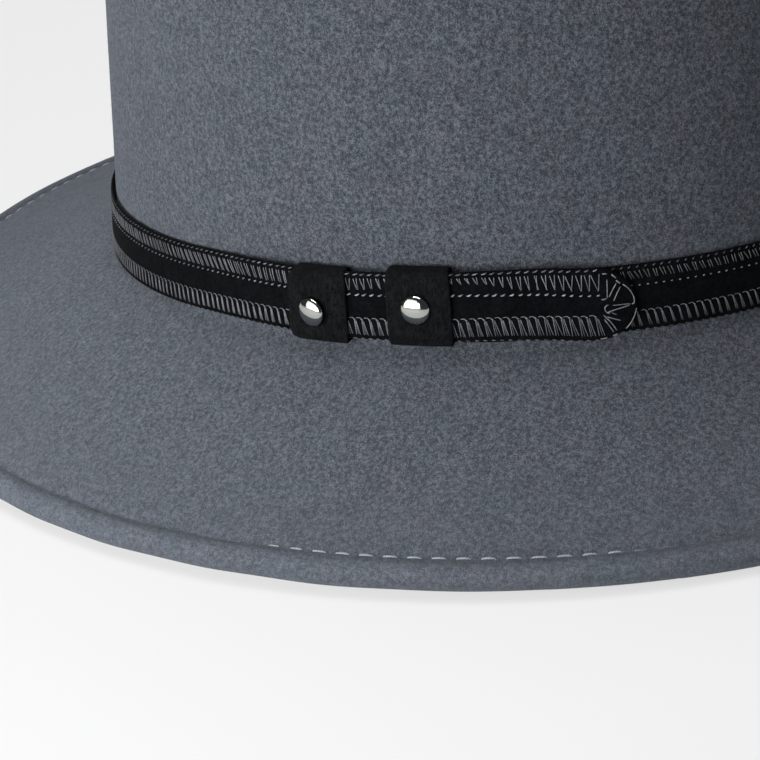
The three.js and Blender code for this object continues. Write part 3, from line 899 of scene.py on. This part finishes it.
# Threads of the tab's rounded tip: thickness in millimetres, then its course as angle and height
TIP_THREADS = (
    (0.30, ((121.88, 11.9), (121.3, 10.4), (120.77, 8.8))),
    (0.30, ((122.36, 11.1), (121.8, 9.5), (121.32, 7.9))),
    (0.28, ((120.74, 13.0), (120.68, 10.8), (120.56, 8.6))),
    (0.42, ((119.9, 8.62), (120.2, 8.6), (120.5, 8.8))),
    (0.36, ((120.25, 14.2), (120.5, 14.25), (120.8, 14.15))),
    (0.46, ((121.4, 13.9), (121.65, 13.5), (121.9, 13.1))),
    (0.46, ((121.9, 12.5), (122.1, 12.2), (122.35, 11.8))),
    (0.30, ((122.6, 11.5), (123.4, 10.5), (123.85, 8.3), (123.9, 7.6), (123.54, 6.9))),
    (0.28, ((123.5, 6.9), (122.3, 6.35), (121.26, 6.0), (120.68, 5.6))),
    (0.24, ((123.5, 7.0), (122.4, 7.05), (121.07, 7.05))),
    (0.32, ((120.73, 7.3), (120.17, 6.6), (120.37, 5.65), (120.8, 5.5))),
    (0.48, ((120.4, 5.5), (120.7, 5.75), (121.05, 5.85))),
    (0.24, ((120.99, 5.4), (121.3, 5.15), (121.6, 4.9))),
    (0.26, ((120.31, 4.7), (121.0, 4.2), (121.54, 3.85), (122.04, 3.5))),
    (0.34, ((124.05, 5.75), (124.0, 4.4), (123.48, 3.45), (122.86, 1.6), (122.61, 0.6))),
    (0.32, ((119.87, 5.2), (120.73, 3.45), (121.1, 2.4), (121.45, 1.3))),
    (0.30, ((119.97, 4.2), (120.66, 2.2), (121.0, 0.95))),
    (0.44, ((120.9, 0.3), (121.2, 0.45), (121.45, 0.6))),
    (0.34, ((119.3, -0.2), (119.7, -0.15), (120.15, 0.0))),
)
TIP_TONE = 1.15

# Small threads that each stitch repeats, a row for each point: place in stitches, height in millimetres and
# lift in thicknesses of the thread
INNER_DASH = ((-0.42, -0.22, -0.35), (-0.203, -0.14, 0.05), (0.045, 0.08, 0.34), (0.2, 0.24, -0.1))
UPPER_EDGE = ((-0.55, -0.2, -0.3), (-0.35, -0.1, 0.2), (-0.1, 0.02, 0.3), (0.1, 0.14, -0.2))
LOWER_ARCH = ((-0.72, 0.25, -0.3), (-0.55, 0.38, 0.2), (-0.3, 0.42, 0.3), (-0.12, 0.28, 0.3), (0, 0, 0.1))
LOWER_KNOT = ((-0.14, 0.16, -0.2), (0, 0.02, 0.25), (0.12, -0.14, -0.2))
LOWER_EDGE = ((-0.3, 0.06, -0.3), (0, 0, 0.2), (0.25, -0.04, -0.3))


def strap_point(angle, height, lift):
    """A point on the strap's face, lifted off it."""
    return beside_wall(angle, height, strap_face(angle, height) + lift)


def stitch_angles(last, first):
    """Angles of a row's stitches from the tip back to its start, evenly spaced, and one stitch's turn."""
    s = bpy.context.scene.hat_seams
    grid = np.linspace(first - 2, last, 4000)
    run = lengths_along(beside_wall(grid, STRAP_MIDDLE, 2 * MM))
    places = np.arange(run[-1], 0, -s.pitch)
    angles = np.interp(places, run, grid)
    turn = np.interp(places, run, np.gradient(grid, run)) * s.pitch
    return angles, turn


def shape_at(table, angle):
    """Columns of a table of a seam's shape, between its rows."""
    rows = np.array(table, float)
    return [np.interp(angle, rows[:, 0], rows[:, k]) for k in range(1, rows.shape[1])]


def strands(courses, thickness, tones, ends=0.6, sides=6, last=1.0):
    """Tubes on the strap's face from courses (count, sections, angle height lift), with thinner ends, and the
    tones of their points, which change to a share of themselves at the last section, for painted shade at a
    thread's foot."""
    angle, height, lift = courses[..., 0], courses[..., 1], courses[..., 2]
    sections = courses.shape[1]
    shape = np.ones(sections)
    shape[0] = shape[-1] = ends
    radii = np.broadcast_to(np.reshape(thickness, (-1, 1)) / 2, angle.shape) * shape
    made = tubes(strap_point(angle, height, lift), radii, wall_normal(angle), sides)
    along = np.repeat(np.linspace(0, 1, sections), sides)
    return made, (np.reshape(tones, (-1, 1)) * mix(1, np.reshape(last, (-1, 1)), along)).ravel()


def course(places):
    """Stacks (angle, height, lift) triples of arrays as courses."""
    return np.stack([np.stack(np.broadcast_arrays(*p), -1) for p in places], 1)


def repeated(rows, angle, turn, height, thread, tall=1.0):
    """Courses of a small thread at each stitch; turn and tall stretch them."""
    return course([(angle + x * turn, height + y * tall * MM, z * thread) for x, y, z in rows])


def seam_legs(top_angle, top, foot_angle, foot, thread, rng):
    """Legs of the stitches, which rise out of the suede and sink back into it."""
    jitter = bpy.context.scene.hat_seams.jitter
    top = top + rng.normal(scale=jitter, size=len(top_angle))
    foot = foot + rng.normal(scale=jitter, size=len(top_angle))
    lifts = np.array((-0.5, 0.15, 0.3, 0.3, 0.15, -0.5)) * thread
    shares = (0.0, 0.1, 0.35, 0.65, 0.9, 1.0)
    return [
        (mix(top_angle, foot_angle, k), mix(top, foot, k), np.full(len(top_angle), lift))
        for k, lift in zip(shares, lifts)
    ]


def upper_seam(rng):
    s = bpy.context.scene.hat_seams
    angle, turn = stitch_angles(UPPER_LAST, SEAM_START)
    _, high = strap_edges(angle)
    reach, _ = seam_reach(angle)
    stray = rng.normal(scale=s.jitter, size=len(angle)) / s.pitch * turn
    tip = angle + stray
    left, right, apart, crossed, inner_length, edge_length, tone = shape_at(UPPER_SHAPE, angle)
    top, foot = high - 1.2 * MM, high - reach * crossed
    parts = []
    for slope, reach_on in ((left, 0.02), (right, 0.02 + apart)):
        loose = rng.normal(scale=0.08, size=(2, len(angle)))
        first, last = tip - (slope + loose[0]) * turn, tip + (reach_on + 0.5 * loose[1]) * turn
        legs = course(seam_legs(first, top, last, foot, s.thread, rng))
        shades = tone * rng.uniform(0.7, 1.3, len(angle))
        # Painted shade: each leg darkens towards its foot, where it sinks into the suede.
        parts.append(strands(legs, s.thread, shades, last=0.75))
    inner = high - reach
    dash = repeated(INNER_DASH, tip, turn * inner_length, inner, s.needle, inner_length)
    thick = s.needle * mix(0.75, 1.0, inner_length)
    # Painted highlight: the dashes on the inner line are painted lighter than the legs.
    shades = 1.35 * tone**0.7 * rng.uniform(0.75, 1.2, len(angle))
    parts.append(strands(dash, thick, shades))
    edge = repeated(UPPER_EDGE, tip, turn * edge_length, high - 0.42 * MM, s.edge)
    parts.append(strands(edge, s.edge, tone * rng.uniform(0.4, 1.0, len(angle)), ends=0.7))
    return merge_tubes(parts)


def lower_seam(rng):
    s = bpy.context.scene.hat_seams
    angle, turn = stitch_angles(LOWER_LAST, SEAM_START)
    low, _ = strap_edges(angle)
    _, reach = seam_reach(angle)
    node = angle + rng.normal(scale=s.jitter, size=len(angle)) / s.pitch * turn
    near, far, thick, tone = shape_at(LOWER_SHAPE, angle)
    top, foot = low + reach + 0.05 * MM, low + 1.15 * MM
    parts = []
    spread = far - near
    # Painted light and shade: the two outer strands are painted lighter and the middle one darker; each
    # strand darkens towards its foot, most at the seam's start.
    for share, lit in ((0.0, 1.3), (0.5, 0.7), (1.0, 1.3)):
        loose = rng.normal(scale=0.05, size=len(angle))
        first, last = node + 0.45 * share * spread * turn, node + (near + loose + share * spread) * turn
        legs = course(seam_legs(first, top - 0.35 * MM * share, last, foot, s.thread, rng))
        shades = tone * lit * rng.uniform(0.8, 1.2, len(angle))
        fades = mix(0.15, 0.6, smooth(angle, 130, 434))
        parts.append(strands(legs, s.thread * thick, shades, last=fades))
    arch = repeated(LOWER_ARCH, node, turn, top, s.arch)
    parts.append(strands(arch, s.arch, tone, sides=5))
    # Painted highlight: the knots are painted lighter than the strands.
    knot = repeated(LOWER_KNOT, node, turn, top, s.needle)
    parts.append(strands(knot, s.needle * 0.85, 1.3 * tone))
    edge = repeated(LOWER_EDGE, node, turn, low + 0.35 * MM, s.edge)
    shades = tone * rng.uniform(0.3, 0.9, len(angle))
    parts.append(strands(edge, s.edge * 0.8, shades))
    return merge_tubes(parts)


def tip_seam():
    parts = []
    for thickness, places in TIP_THREADS:
        a, h = np.array(places, float).T
        steps = np.linspace(0, 1, 3 * len(places))
        given = np.linspace(0, 1, len(places))
        degree = min(len(places) - 1, 3)
        angle = np.polyval(np.polyfit(given, a, degree), steps) + ROUND
        height = np.polyval(np.polyfit(given, h, degree), steps) * MM
        low, high = strap_edges(angle)
        height = np.clip(height, low + 0.15 * MM, high - 0.15 * MM)
        lift = np.full(len(steps), 0.3)
        lift[0] = lift[-1] = -0.4
        one = np.stack([angle, height, lift * thickness * MM], -1)[None]
        parts.append(strands(one, 0.8 * thickness * MM, TIP_TONE))
    return merge_tubes(parts)


class FELTHAT_OT_seams(Operator):
    """Add the overcast seams along both edges of the strap and round its tip"""

    bl_idname = "felthat.seams"
    bl_label = "Seams"

    def execute(self, context):
        rng = np.random.default_rng(SEAM_SEED)
        material = thread_material("Seam thread", context.scene.hat_colours.seam_thread, 0.42, 0.35)
        for name, made in (
            ("seam_upper", upper_seam(rng)),
            ("seam_lower", lower_seam(rng)),
            ("seam_tip", tip_seam()),
        ):
            points, faces, uvs, tones = made
            add_object(name, points, faces, material, uvs=uvs, tones=tones)
        return {"FINISHED"}


def keeper_face_out(angle):
    s = bpy.context.scene.hat_strap
    return stand_off(angle) + 2 * s.thickness + 2 * s.gap


def keeper_loop(back, front, low, high, corner, swell, points=56):
    """Closed outline of a keeper as out and height: a rectangle with round corners and a swollen front."""
    half_out, half_height = (front - back) / 2, (high - low) / 2
    power = 2 * half_height / corner * 0.55
    turn = 2 * math.pi * (np.arange(points) + 0.5) / points
    x, y = np.cos(turn), np.sin(turn)
    flat = np.arctan2(half_height * y, half_out * x)
    ray_out, ray_height = np.cos(flat), np.sin(flat)
    r = np.maximum(np.abs(ray_out) / half_out, np.abs(ray_height) / half_height)
    out, height = ray_out / r, ray_height / r
    inner_out, inner_height = half_out - corner, half_height - corner
    over_out = np.maximum(np.abs(out) - inner_out, 0)
    over_height = np.maximum(np.abs(height) - inner_height, 0)
    reach = np.hypot(over_out, over_height)
    limit = np.where((over_out > 0) & (over_height > 0), np.minimum(1, corner / np.maximum(reach, 1e-9)), 1)
    out = np.sign(out) * (np.minimum(np.abs(out), inner_out) + over_out * limit)
    height = np.sign(height) * (np.minimum(np.abs(height), inner_height) + over_height * limit)
    out = out + np.where(out > 0, swell * np.clip(1 - (height / half_height) ** 2, 0, 1) ** (1 / power), 0)
    return (back + front) / 2 + out, (low + high) / 2 + height


def keeper_ring(row, x, loop):
    """One section of a keeper, x along the strap from its middle; its corners are drawn in at the folds."""
    s = bpy.context.scene.hat_strap
    _, centre, low, high, left_draw, right_draw = row[:6]
    out, height = loop
    per_degree = np.linalg.norm(beside_wall(91.0, 0.0) - beside_wall(90.0, 0.0))
    half_width = math.degrees(s.keeper_width) / 2 * per_degree
    half = (high - low) * MM / 2 + s.keeper_slack + s.keeper_fold
    near_fold = smooth(np.abs(height - (low + high) * MM / 2), half - 1.8 * MM, half)
    draw = left_draw if x < 0 else right_draw
    drawn = x * half_width * (1 - near_fold * draw * MM / half_width)
    bend = 0.25 * MM * smooth(abs(x), 0.6, 1.0) * (out >= keeper_face_out(centre))
    return beside_wall(centre + drawn / per_degree, height, out - bend)


class FELTHAT_OT_keepers(Operator):
    """Add the two suede loops round the strap and its tab"""

    bl_idname = "felthat.keepers"
    bl_label = "Keepers"

    def execute(self, context):
        s = context.scene.hat_strap
        material = suede_material("Keeper suede", context.scene.hat_colours.keeper, 0.00026, 0.25, 0.4)
        edge = 0.3 * MM
        arc = np.radians(np.arange(0, 91, 15))
        inset = np.concatenate([(1 - np.sin(arc)) * edge, np.zeros(17), (1 - np.sin(arc[::-1])) * edge])
        rounding = 0.055 * (1 - np.cos(arc))
        side = 1 - rounding[::-1]
        across = np.concatenate([-side[::-1], np.linspace(-side[0], side[0], 19)[1:-1], side])
        t, fold = s.keeper_thickness, s.keeper_fold
        for row in KEEPERS:
            name, centre, low, high = row[:4]
            back, face = stand_off(centre) - s.gap, keeper_face_out(centre)
            bottom, top = low * MM - s.keeper_slack, high * MM + s.keeper_slack
            outer, inner = [], []
            for x, cut in zip(across, inset):
                skin = (back - t + cut, face + t - cut, bottom - fold + cut, top + fold - cut)
                lining = (back - cut, face + cut, bottom - cut, top + cut)
                outer.append(keeper_ring(row, x, keeper_loop(*skin, s.keeper_corner, s.keeper_swell)))
                inner.append(keeper_ring(row, x, keeper_loop(*lining, 0.3 * MM, s.keeper_swell / 2)))
            rings = outer + inner[::-1]
            points = np.concatenate(rings)
            faces = [tuple(i % len(points) for i in f) for f in join_rings(rings + [rings[0]])]
            add_object(
                f"suede_keeper_{name}", points, faces, material, replaces=(f"keeper_{name}",)
            )
        return {"FINISHED"}


class FELTHAT_OT_rivets(Operator):
    """Add the two domed nickel rivets"""

    bl_idname = "felthat.rivets"
    bl_label = "Rivets"

    def execute(self, context):
        r = context.scene.hat_rivets
        s = context.scene.hat_strap
        material = nickel_material()
        turns = np.radians(np.arange(4, 90, 4.5))
        profile = [(r.post, -r.post_length), (r.post, r.seat), (r.radius * 0.86, r.seat)]
        profile += [(r.radius * 0.96, r.seat + r.rim * 0.12), (r.radius, r.seat + r.rim * 0.5)]
        profile += [(r.radius * math.cos(t), r.seat + r.rim + (r.dome - r.rim) * math.sin(t)) for t in turns]
        around = 2 * math.pi * np.arange(r.sides) / r.sides
        for row in KEEPERS:
            name, centre = row[:2]
            rivet_angle, rivet_height, lean, droop = row[6:]
            raised = 0.65 * r.radius * math.radians(math.hypot(lean, droop))
            out = keeper_face_out(centre) + s.keeper_thickness + s.keeper_swell * 0.6 + raised
            place = beside_wall(rivet_angle, rivet_height * MM, out)
            axis = wall_normal(np.array(rivet_angle - lean)) - [0.0, 0.0, math.tan(math.radians(droop))]
            axis = unit(axis)
            side, up = square_to(axis)
            spoke = np.cos(around)[:, None] * side + np.sin(around)[:, None] * up
            rings = [place + radius * spoke + height * axis for radius, height in profile]
            points, faces = close_rings(rings)
            faces = [tuple(reversed(f)) for f in faces]
            add_object(f"dome_rivet_{name}", points, faces, material, replaces=(f"rivet_{name}",))
        return {"FINISHED"}


# Node groups and materials


def feed(tree, socket, value):
    """Links a socket to another node's output, or sets it to a constant."""
    if isinstance(value, bpy.types.NodeSocket):
        tree.links.new(value, socket)
    else:
        socket.default_value = value


def add_node(tree, kind, inputs=None, **settings):
    """A node with its settings and its inputs, each a constant or another node's output."""
    node = tree.nodes.new(kind)
    for name, value in settings.items():
        setattr(node, name, value)
    for key, value in (inputs or {}).items():
        feed(tree, node.inputs[key], value)
    return node


def math_node(tree, operation, a, b=0.0, clamp=False):
    return add_node(tree, "ShaderNodeMath", {0: a, 1: b}, operation=operation, use_clamp=clamp).outputs[0]


def noise_node(tree, vector, scale, detail, roughness=0.5, distortion=0.0):
    inputs = {"Vector": vector, "Scale": scale, "Detail": detail, "Roughness": roughness}
    return add_node(tree, "ShaderNodeTexNoise", {**inputs, "Distortion": distortion}).outputs["Fac"]


def map_range(tree, value, low, high, to_low, to_high, kind="LINEAR"):
    inputs = {"Value": value, "From Min": low, "From Max": high, "To Min": to_low, "To Max": to_high}
    return add_node(tree, "ShaderNodeMapRange", inputs, interpolation_type=kind).outputs["Result"]


def mix_colour(tree, factor, a, b, blend="MIX"):
    node = add_node(tree, "ShaderNodeMix", data_type="RGBA", blend_type=blend)
    for socket, value in zip([s for s in node.inputs if s.enabled], (factor, a, b)):
        feed(tree, socket, value)
    return [s for s in node.outputs if s.enabled][0]


def object_place(tree):
    return tree.nodes.new("ShaderNodeTexCoord").outputs["Object"]


def contrasted(tree, noise, contrast):
    """A noise stretched about its middle and kept between 0 and 1."""
    centred = math_node(tree, "SUBTRACT", noise, 0.5)
    return math_node(tree, "ADD", math_node(tree, "MULTIPLY", centred, contrast), 0.5, clamp=True)


def fill_grain(tree, given, out):
    """Grain of matted fibres: a mask from 0 to 1 and a height."""
    squeeze = add_node(tree, "ShaderNodeCombineXYZ", {"X": 1.0, "Y": 1.0, "Z": given["Upright"]})
    factors = {0: object_place(tree), 1: squeeze.outputs["Vector"]}
    place = add_node(tree, "ShaderNodeVectorMath", factors, operation="MULTIPLY").outputs["Vector"]
    scale = math_node(tree, "DIVIDE", 1.0, given["Size"])
    fine = noise_node(tree, place, scale, 3.0, 0.7, 0.4)
    coarse = noise_node(tree, place, math_node(tree, "MULTIPLY", scale, 0.33), 1.0)
    parts = [math_node(tree, "MULTIPLY", noise, part) for noise, part in ((fine, 0.7), (coarse, 0.3))]
    both = math_node(tree, "ADD", *parts)
    feed(tree, out["Mask"], contrasted(tree, both, given["Contrast"]))
    feed(tree, out["Height"], both)


def fill_mottle(tree, given, out):
    """Slow change between two colours over the surface."""
    scale = math_node(tree, "DIVIDE", 1.0, given["Size"])
    factor = contrasted(tree, noise_node(tree, object_place(tree), scale, 3.0, 0.6), given["Contrast"])
    feed(tree, out["Colour"], mix_colour(tree, factor, given["Colour A"], given["Colour B"]))


def fill_nearness(tree, given, out):
    """A mask that is 1 near the middle of the scene and 0 beyond a distance."""
    distance = add_node(tree, "ShaderNodeVectorMath", {0: object_place(tree)}, operation="LENGTH")
    fade = map_range(tree, distance.outputs["Value"], given["Near"], given["Far"], 1.0, 0.0, "SMOOTHSTEP")
    feed(tree, out["Mask"], fade)


def fill_twist(tree, given, out):
    """Twisted plies of a thread, from its own run and round."""
    uv = add_node(tree, "ShaderNodeUVMap").outputs["UV"]
    parts = add_node(tree, "ShaderNodeSeparateXYZ", {0: uv}).outputs
    run = math_node(tree, "MULTIPLY", parts["X"], given["Turns"])
    plies = math_node(tree, "MULTIPLY", parts["Y"], given["Plies"])
    phase = math_node(tree, "MULTIPLY", math_node(tree, "ADD", run, plies), 2 * math.pi)
    feed(tree, out["Height"], math_node(tree, "MULTIPLY_ADD", math_node(tree, "SINE", phase), 0.5))


# Node groups that the materials share: what fills each, its inputs with their usual values, and its outputs
GREY = (0.2, 0.2, 0.2, 1.0)
MOTTLE_INPUTS = {"Size": 0.006, "Contrast": 2.0, "Colour A": GREY, "Colour B": GREY}
SHARED_GROUPS = {
    "Matted fibres": (fill_grain, {"Size": 0.0005, "Contrast": 1.0, "Upright": 1.0}, ("Mask", "Height")),
    "Mottle": (fill_mottle, MOTTLE_INPUTS, ("Colour",)),
    "Nearness": (fill_nearness, {"Near": 0.4, "Far": 0.8}, ("Mask",)),
    "Thread twist": (fill_twist, {"Turns": 1.6, "Plies": 2.0}, ("Height",)),
}


def socket_kind(label):
    return "NodeSocketColor" if label.startswith("Colour") else "NodeSocketFloat"


def shared_group(name):
    """A shader node group, made the first time that it is asked for."""
    if name in bpy.data.node_groups:
        return bpy.data.node_groups[name]
    fill, inputs, outputs = SHARED_GROUPS[name]
    group = bpy.data.node_groups.new(name, "ShaderNodeTree")
    for label, default in inputs.items():
        socket = group.interface.new_socket(label, in_out="INPUT", socket_type=socket_kind(label))
        socket.default_value = default
    for label in outputs:
        group.interface.new_socket(label, in_out="OUTPUT", socket_type=socket_kind(label))
    start, end = group.nodes.new("NodeGroupInput"), group.nodes.new("NodeGroupOutput")
    fill(group, start.outputs, end.inputs)
    return group


def place_group(tree, name, **values):
    inputs = {label.replace("_", " "): value for label, value in values.items()}
    return add_node(tree, "ShaderNodeGroup", inputs, node_tree=shared_group(name)).outputs


def mottled(tree, size, first, second):
    return place_group(tree, "Mottle", Size=size, Contrast=3.0, Colour_A=first, Colour_B=second)["Colour"]


def grey(value):
    return (value, value, value, 1.0)


def shaded(tree, rgb, mask, dark, pale):
    """A colour multiplied by a grey that goes from dark to pale as the mask goes from 0 to 1."""
    return mix_colour(tree, 1.0, rgb, mix_colour(tree, mask, grey(dark), grey(pale)), "MULTIPLY")


def toned(tree, rgb):
    """A colour made lighter or darker by the tone of the mesh's points, which carries painted light and
    shade, 1 where it stays as it is.
    """
    tone = add_node(tree, "ShaderNodeAttribute", attribute_name="tone").outputs["Fac"]
    return shaded(tree, rgb, math_node(tree, "MULTIPLY", tone, 0.5), 0.0, 2.0)


def bump(tree, height, strength, distance, normal=None):
    inputs = {"Strength": strength, "Distance": distance, "Height": height}
    if normal is not None:
        inputs["Normal"] = normal
    return add_node(tree, "ShaderNodeBump", inputs).outputs["Normal"]


def new_material(name, **values):
    """A material with one Principled shader whose constant values are set on its own sockets."""
    material = bpy.data.materials.new(name)
    material.use_nodes = True
    tree = material.node_tree
    shader = tree.nodes["Principled BSDF"]
    for label, value in values.items():
        shader.inputs[label.replace("_", " ")].default_value = value
    return material, tree, shader.inputs


def with_alpha(rgb, gain=1.0):
    return tuple(min(1.0, c * gain) for c in rgb) + (1.0,)


def felt_material():
    c = bpy.context.scene.hat_colours
    material, tree, sockets = new_material(
        "Grey felt",
        Roughness=0.95,
        Specular_IOR_Level=0.15,
        Sheen_Weight=0.15,
        Sheen_Roughness=0.45,
        Sheen_Tint=(0.62, 0.68, 0.78, 1.0),
    )
    fine = place_group(tree, "Matted fibres", Size=0.00031, Contrast=4.5)
    soft = place_group(tree, "Matted fibres", Size=0.0015, Contrast=3.0)
    hue = mottled(tree, 0.007, with_alpha(c.felt), with_alpha(c.felt_warm))
    height = add_node(tree, "ShaderNodeSeparateXYZ", {0: object_place(tree)}).outputs["Z"]
    worn = map_range(tree, height, 0.003, 0.016, 0.5, 1.0)
    flecks = math_node(tree, "POWER", fine["Mask"], 1.4)
    grain = mix_colour(tree, flecks, (0.36, 0.38, 0.41, 1), (2.00, 1.97, 1.93, 1))
    calm = mix_colour(tree, worn, grey(1.0), grain)
    coloured = mix_colour(tree, 1.0, hue, calm, "MULTIPLY")
    feed(tree, sockets["Base Color"], toned(tree, shaded(tree, coloured, soft["Mask"], 0.86, 1.14)))
    slow = bump(tree, soft["Height"], 0.5, 0.0003)
    feed(tree, sockets["Normal"], bump(tree, fine["Height"], 0.9, 0.0005, slow))
    return material


def fibre_material():
    c = bpy.context.scene.hat_colours
    material, tree, sockets = new_material("Loose fibres", Roughness=0.7, Specular_IOR_Level=0.3)
    feed(tree, sockets["Base Color"], mottled(tree, 0.003, with_alpha(c.fibre), with_alpha(c.felt)))
    return material


def thread_material(name, rgb, roughness, spread):
    material, tree, sockets = new_material(name, Roughness=roughness, Specular_IOR_Level=0.5)
    hue = mottled(tree, 0.0012, with_alpha(rgb, 1 - spread), with_alpha(rgb, 1 + spread))
    twist = place_group(tree, "Thread twist")
    # Painted shade: the thread is darker in the grooves between its twisted plies.
    feed(tree, sockets["Base Color"], toned(tree, shaded(tree, hue, twist["Height"], 0.6, 1.2)))
    feed(tree, sockets["Normal"], bump(tree, twist["Height"], 0.6, 0.00006))
    return material


def suede_material(name, rgb, size, spread, upright):
    """Suede whose nap has a size and is stretched upright, with patches that spread about its colour."""
    material, tree, sockets = new_material(
        name, Roughness=0.92, Specular_IOR_Level=0.04, Sheen_Weight=0.012, Sheen_Roughness=0.35
    )
    nap = place_group(tree, "Matted fibres", Size=size, Contrast=4.0, Upright=upright)
    patch = mottled(tree, 0.0035, with_alpha(rgb, 1 - spread), with_alpha(rgb, 1 + spread))
    feed(tree, sockets["Base Color"], shaded(tree, patch, nap["Mask"], 0.3, 2.0))
    feed(tree, sockets["Normal"], bump(tree, nap["Height"], 0.7, 0.0002))
    return material


def nickel_material():
    c = bpy.context.scene.hat_colours
    material, tree, sockets = new_material(
        "Polished nickel", Metallic=1.0, Base_Color=with_alpha(c.nickel), Specular_IOR_Level=0.5
    )
    wear = place_group(tree, "Matted fibres", Size=0.0008, Contrast=2.0)
    feed(tree, sockets["Roughness"], map_range(tree, wear["Mask"], 0.0, 1.0, 0.05, 0.12))
    feed(tree, sockets["Normal"], bump(tree, wear["Height"], 0.15, 0.00002))
    return material


def floor_material(glow):
    """Pale floor that glows round the hat: painted light, which keeps the floor bright, lifts the shadows
    under the brim and lights the hat from below.
    """
    c = bpy.context.scene.hat_colours
    material, tree, sockets = new_material(
        "Pale floor", Roughness=0.85, Specular_IOR_Level=0.1, Emission_Strength=glow
    )
    grain = place_group(tree, "Matted fibres", Size=0.0006, Contrast=0.4)
    paper = mix_colour(tree, grain["Mask"], with_alpha(c.floor, 0.97), with_alpha(c.floor))
    feed(tree, sockets["Base Color"], paper)
    # Painted light: the floor's glow, strongest near the hat
    reach = place_group(tree, "Nearness", Near=0.6, Far=1.3)
    feed(tree, sockets["Emission Color"], mix_colour(tree, reach["Mask"], grey(0.0), grey(1.0)))
    return material


# Stage


# The lights, a row for each: name, heading from the front to the left side and elevation in degrees,
# distance from the hat's middle, width and height
LIGHTS = (
    ("key", 64, 17, 0.9, 0.95, 0.65),
    ("strip", 75, 8, 0.4, 0.4, 0.15),
    ("back", -64, 70, 1.0, 0.6, 0.6),
    ("top", 0, 90, 1.14, 0.8, 0.8),
)
HAT_MIDDLE = np.array([0.0, 0.0, 0.06])


def outward(heading, elevation):
    """Direction away from the hat, with heading from the front to the left side, in radians."""
    flat = math.cos(elevation)
    return np.array([math.sin(heading) * flat, -math.cos(heading) * flat, math.sin(elevation)])


def facing(place, back, roll=0.0):
    """Matrix of a camera or light at a place, whose back points in a direction."""
    side, up = square_to(back)
    right = side * math.cos(roll) + up * math.sin(roll)
    top = up * math.cos(roll) - side * math.sin(roll)
    return Matrix.Translation(place) @ Matrix(np.stack([right, top, back], 1).tolist()).to_4x4()


def add_area_light(name, heading, elevation, distance, width, height, power):
    """A rectangular light that is aimed at the hat's middle."""
    data = bpy.data.lights.new(name, "AREA")
    data.shape = "RECTANGLE"
    data.size = width
    data.size_y = height
    data.energy = power
    light = bpy.data.objects.new(name, data)
    bpy.context.scene.collection.objects.link(light)
    back = outward(math.radians(heading), math.radians(elevation))
    light.matrix_world = facing(HAT_MIDDLE + distance * back, back)


class FELTHAT_OT_stage(Operator):
    """Add the pale floor, the soft studio light and the camera"""

    bl_idname = "felthat.stage"
    bl_label = "Stage"

    def execute(self, context):
        scene = context.scene
        stage = scene.hat_stage
        material = floor_material(stage.glow)
        segments = 128
        turn = 2 * math.pi * np.arange(segments) / segments
        rim = np.stack([np.cos(turn), np.sin(turn), np.zeros(segments)], -1) * stage.floor_radius
        mesh = bpy.data.meshes.new("floor")
        mesh.from_pydata(rim.tolist(), [], [tuple(range(segments))])
        mesh.materials.append(material)
        floor = bpy.data.objects.new("floor", mesh)
        floor.location = stage.floor_middle
        scene.collection.objects.link(floor)

        world = bpy.data.worlds.new("Studio")
        world.use_nodes = True
        background = world.node_tree.nodes["Background"]
        background.inputs["Color"].default_value = (0.95, 0.97, 1.0, 1.0)
        background.inputs["Strength"].default_value = stage.sky
        scene.world = world
        for row in LIGHTS:
            add_area_light(*row, power=getattr(stage, row[0]))

        data = bpy.data.cameras.new("camera")
        data.lens = stage.camera_lens
        data.sensor_width = 36.0
        data.clip_start = 0.01
        camera = bpy.data.objects.new("camera", data)
        scene.collection.objects.link(camera)
        back = outward(stage.camera_heading, stage.camera_pitch)
        camera.matrix_world = facing(stage.camera_place, back, stage.camera_roll)
        scene.camera = camera
        scene.view_settings.view_transform = "Standard"
        scene.view_settings.look = "None"
        return {"FINISHED"}


class FELTHAT_PT_panel(Panel):
    """Lists the hat's pieces and their sizes"""

    bl_idname = "FELTHAT_PT_panel"
    bl_label = "Felt hat"
    bl_space_type = "VIEW_3D"
    bl_region_type = "UI"
    bl_category = "Felt hat"

    def draw(self, context):
        layout = self.layout
        for operator in OPERATORS:
            layout.operator(operator.bl_idname)
        for name in GROUPS:
            group = getattr(context.scene, name)
            box = layout.box()
            box.label(text=name)
            for key in group.__annotations__:
                box.prop(group, key)


OPERATORS = (
    FELTHAT_OT_felt,
    FELTHAT_OT_hem_stitches,
    FELTHAT_OT_nap,
    FELTHAT_OT_strap,
    FELTHAT_OT_seams,
    FELTHAT_OT_keepers,
    FELTHAT_OT_rivets,
    FELTHAT_OT_stage,
)
GROUPS = {
    "hat_crown": CrownSizes,
    "hat_brim": BrimSizes,
    "hat_hem_stitches": HemStitchSizes,
    "hat_strap": StrapSizes,
    "hat_seams": SeamSizes,
    "hat_rivets": RivetSizes,
    "hat_nap": NapSizes,
    "hat_colours": HatColours,
    "hat_stage": StageSettings,
}


def register():
    for cls in (*GROUPS.values(), *OPERATORS, FELTHAT_PT_panel):
        bpy.utils.register_class(cls)
    for name, group in GROUPS.items():
        setattr(bpy.types.Scene, name, PointerProperty(type=group))


def unregister():
    for name in GROUPS:
        delattr(bpy.types.Scene, name)
    for cls in reversed((*GROUPS.values(), *OPERATORS, FELTHAT_PT_panel)):
        bpy.utils.unregister_class(cls)


def main():
    register()
    bpy.ops.felthat.felt()
    bpy.ops.felthat.hem_stitches()
    bpy.ops.felthat.nap()
    bpy.ops.felthat.strap()
    bpy.ops.felthat.seams()
    bpy.ops.felthat.keepers()
    bpy.ops.felthat.rivets()
    bpy.ops.felthat.stage()


if __name__ == "__main__":
    main()
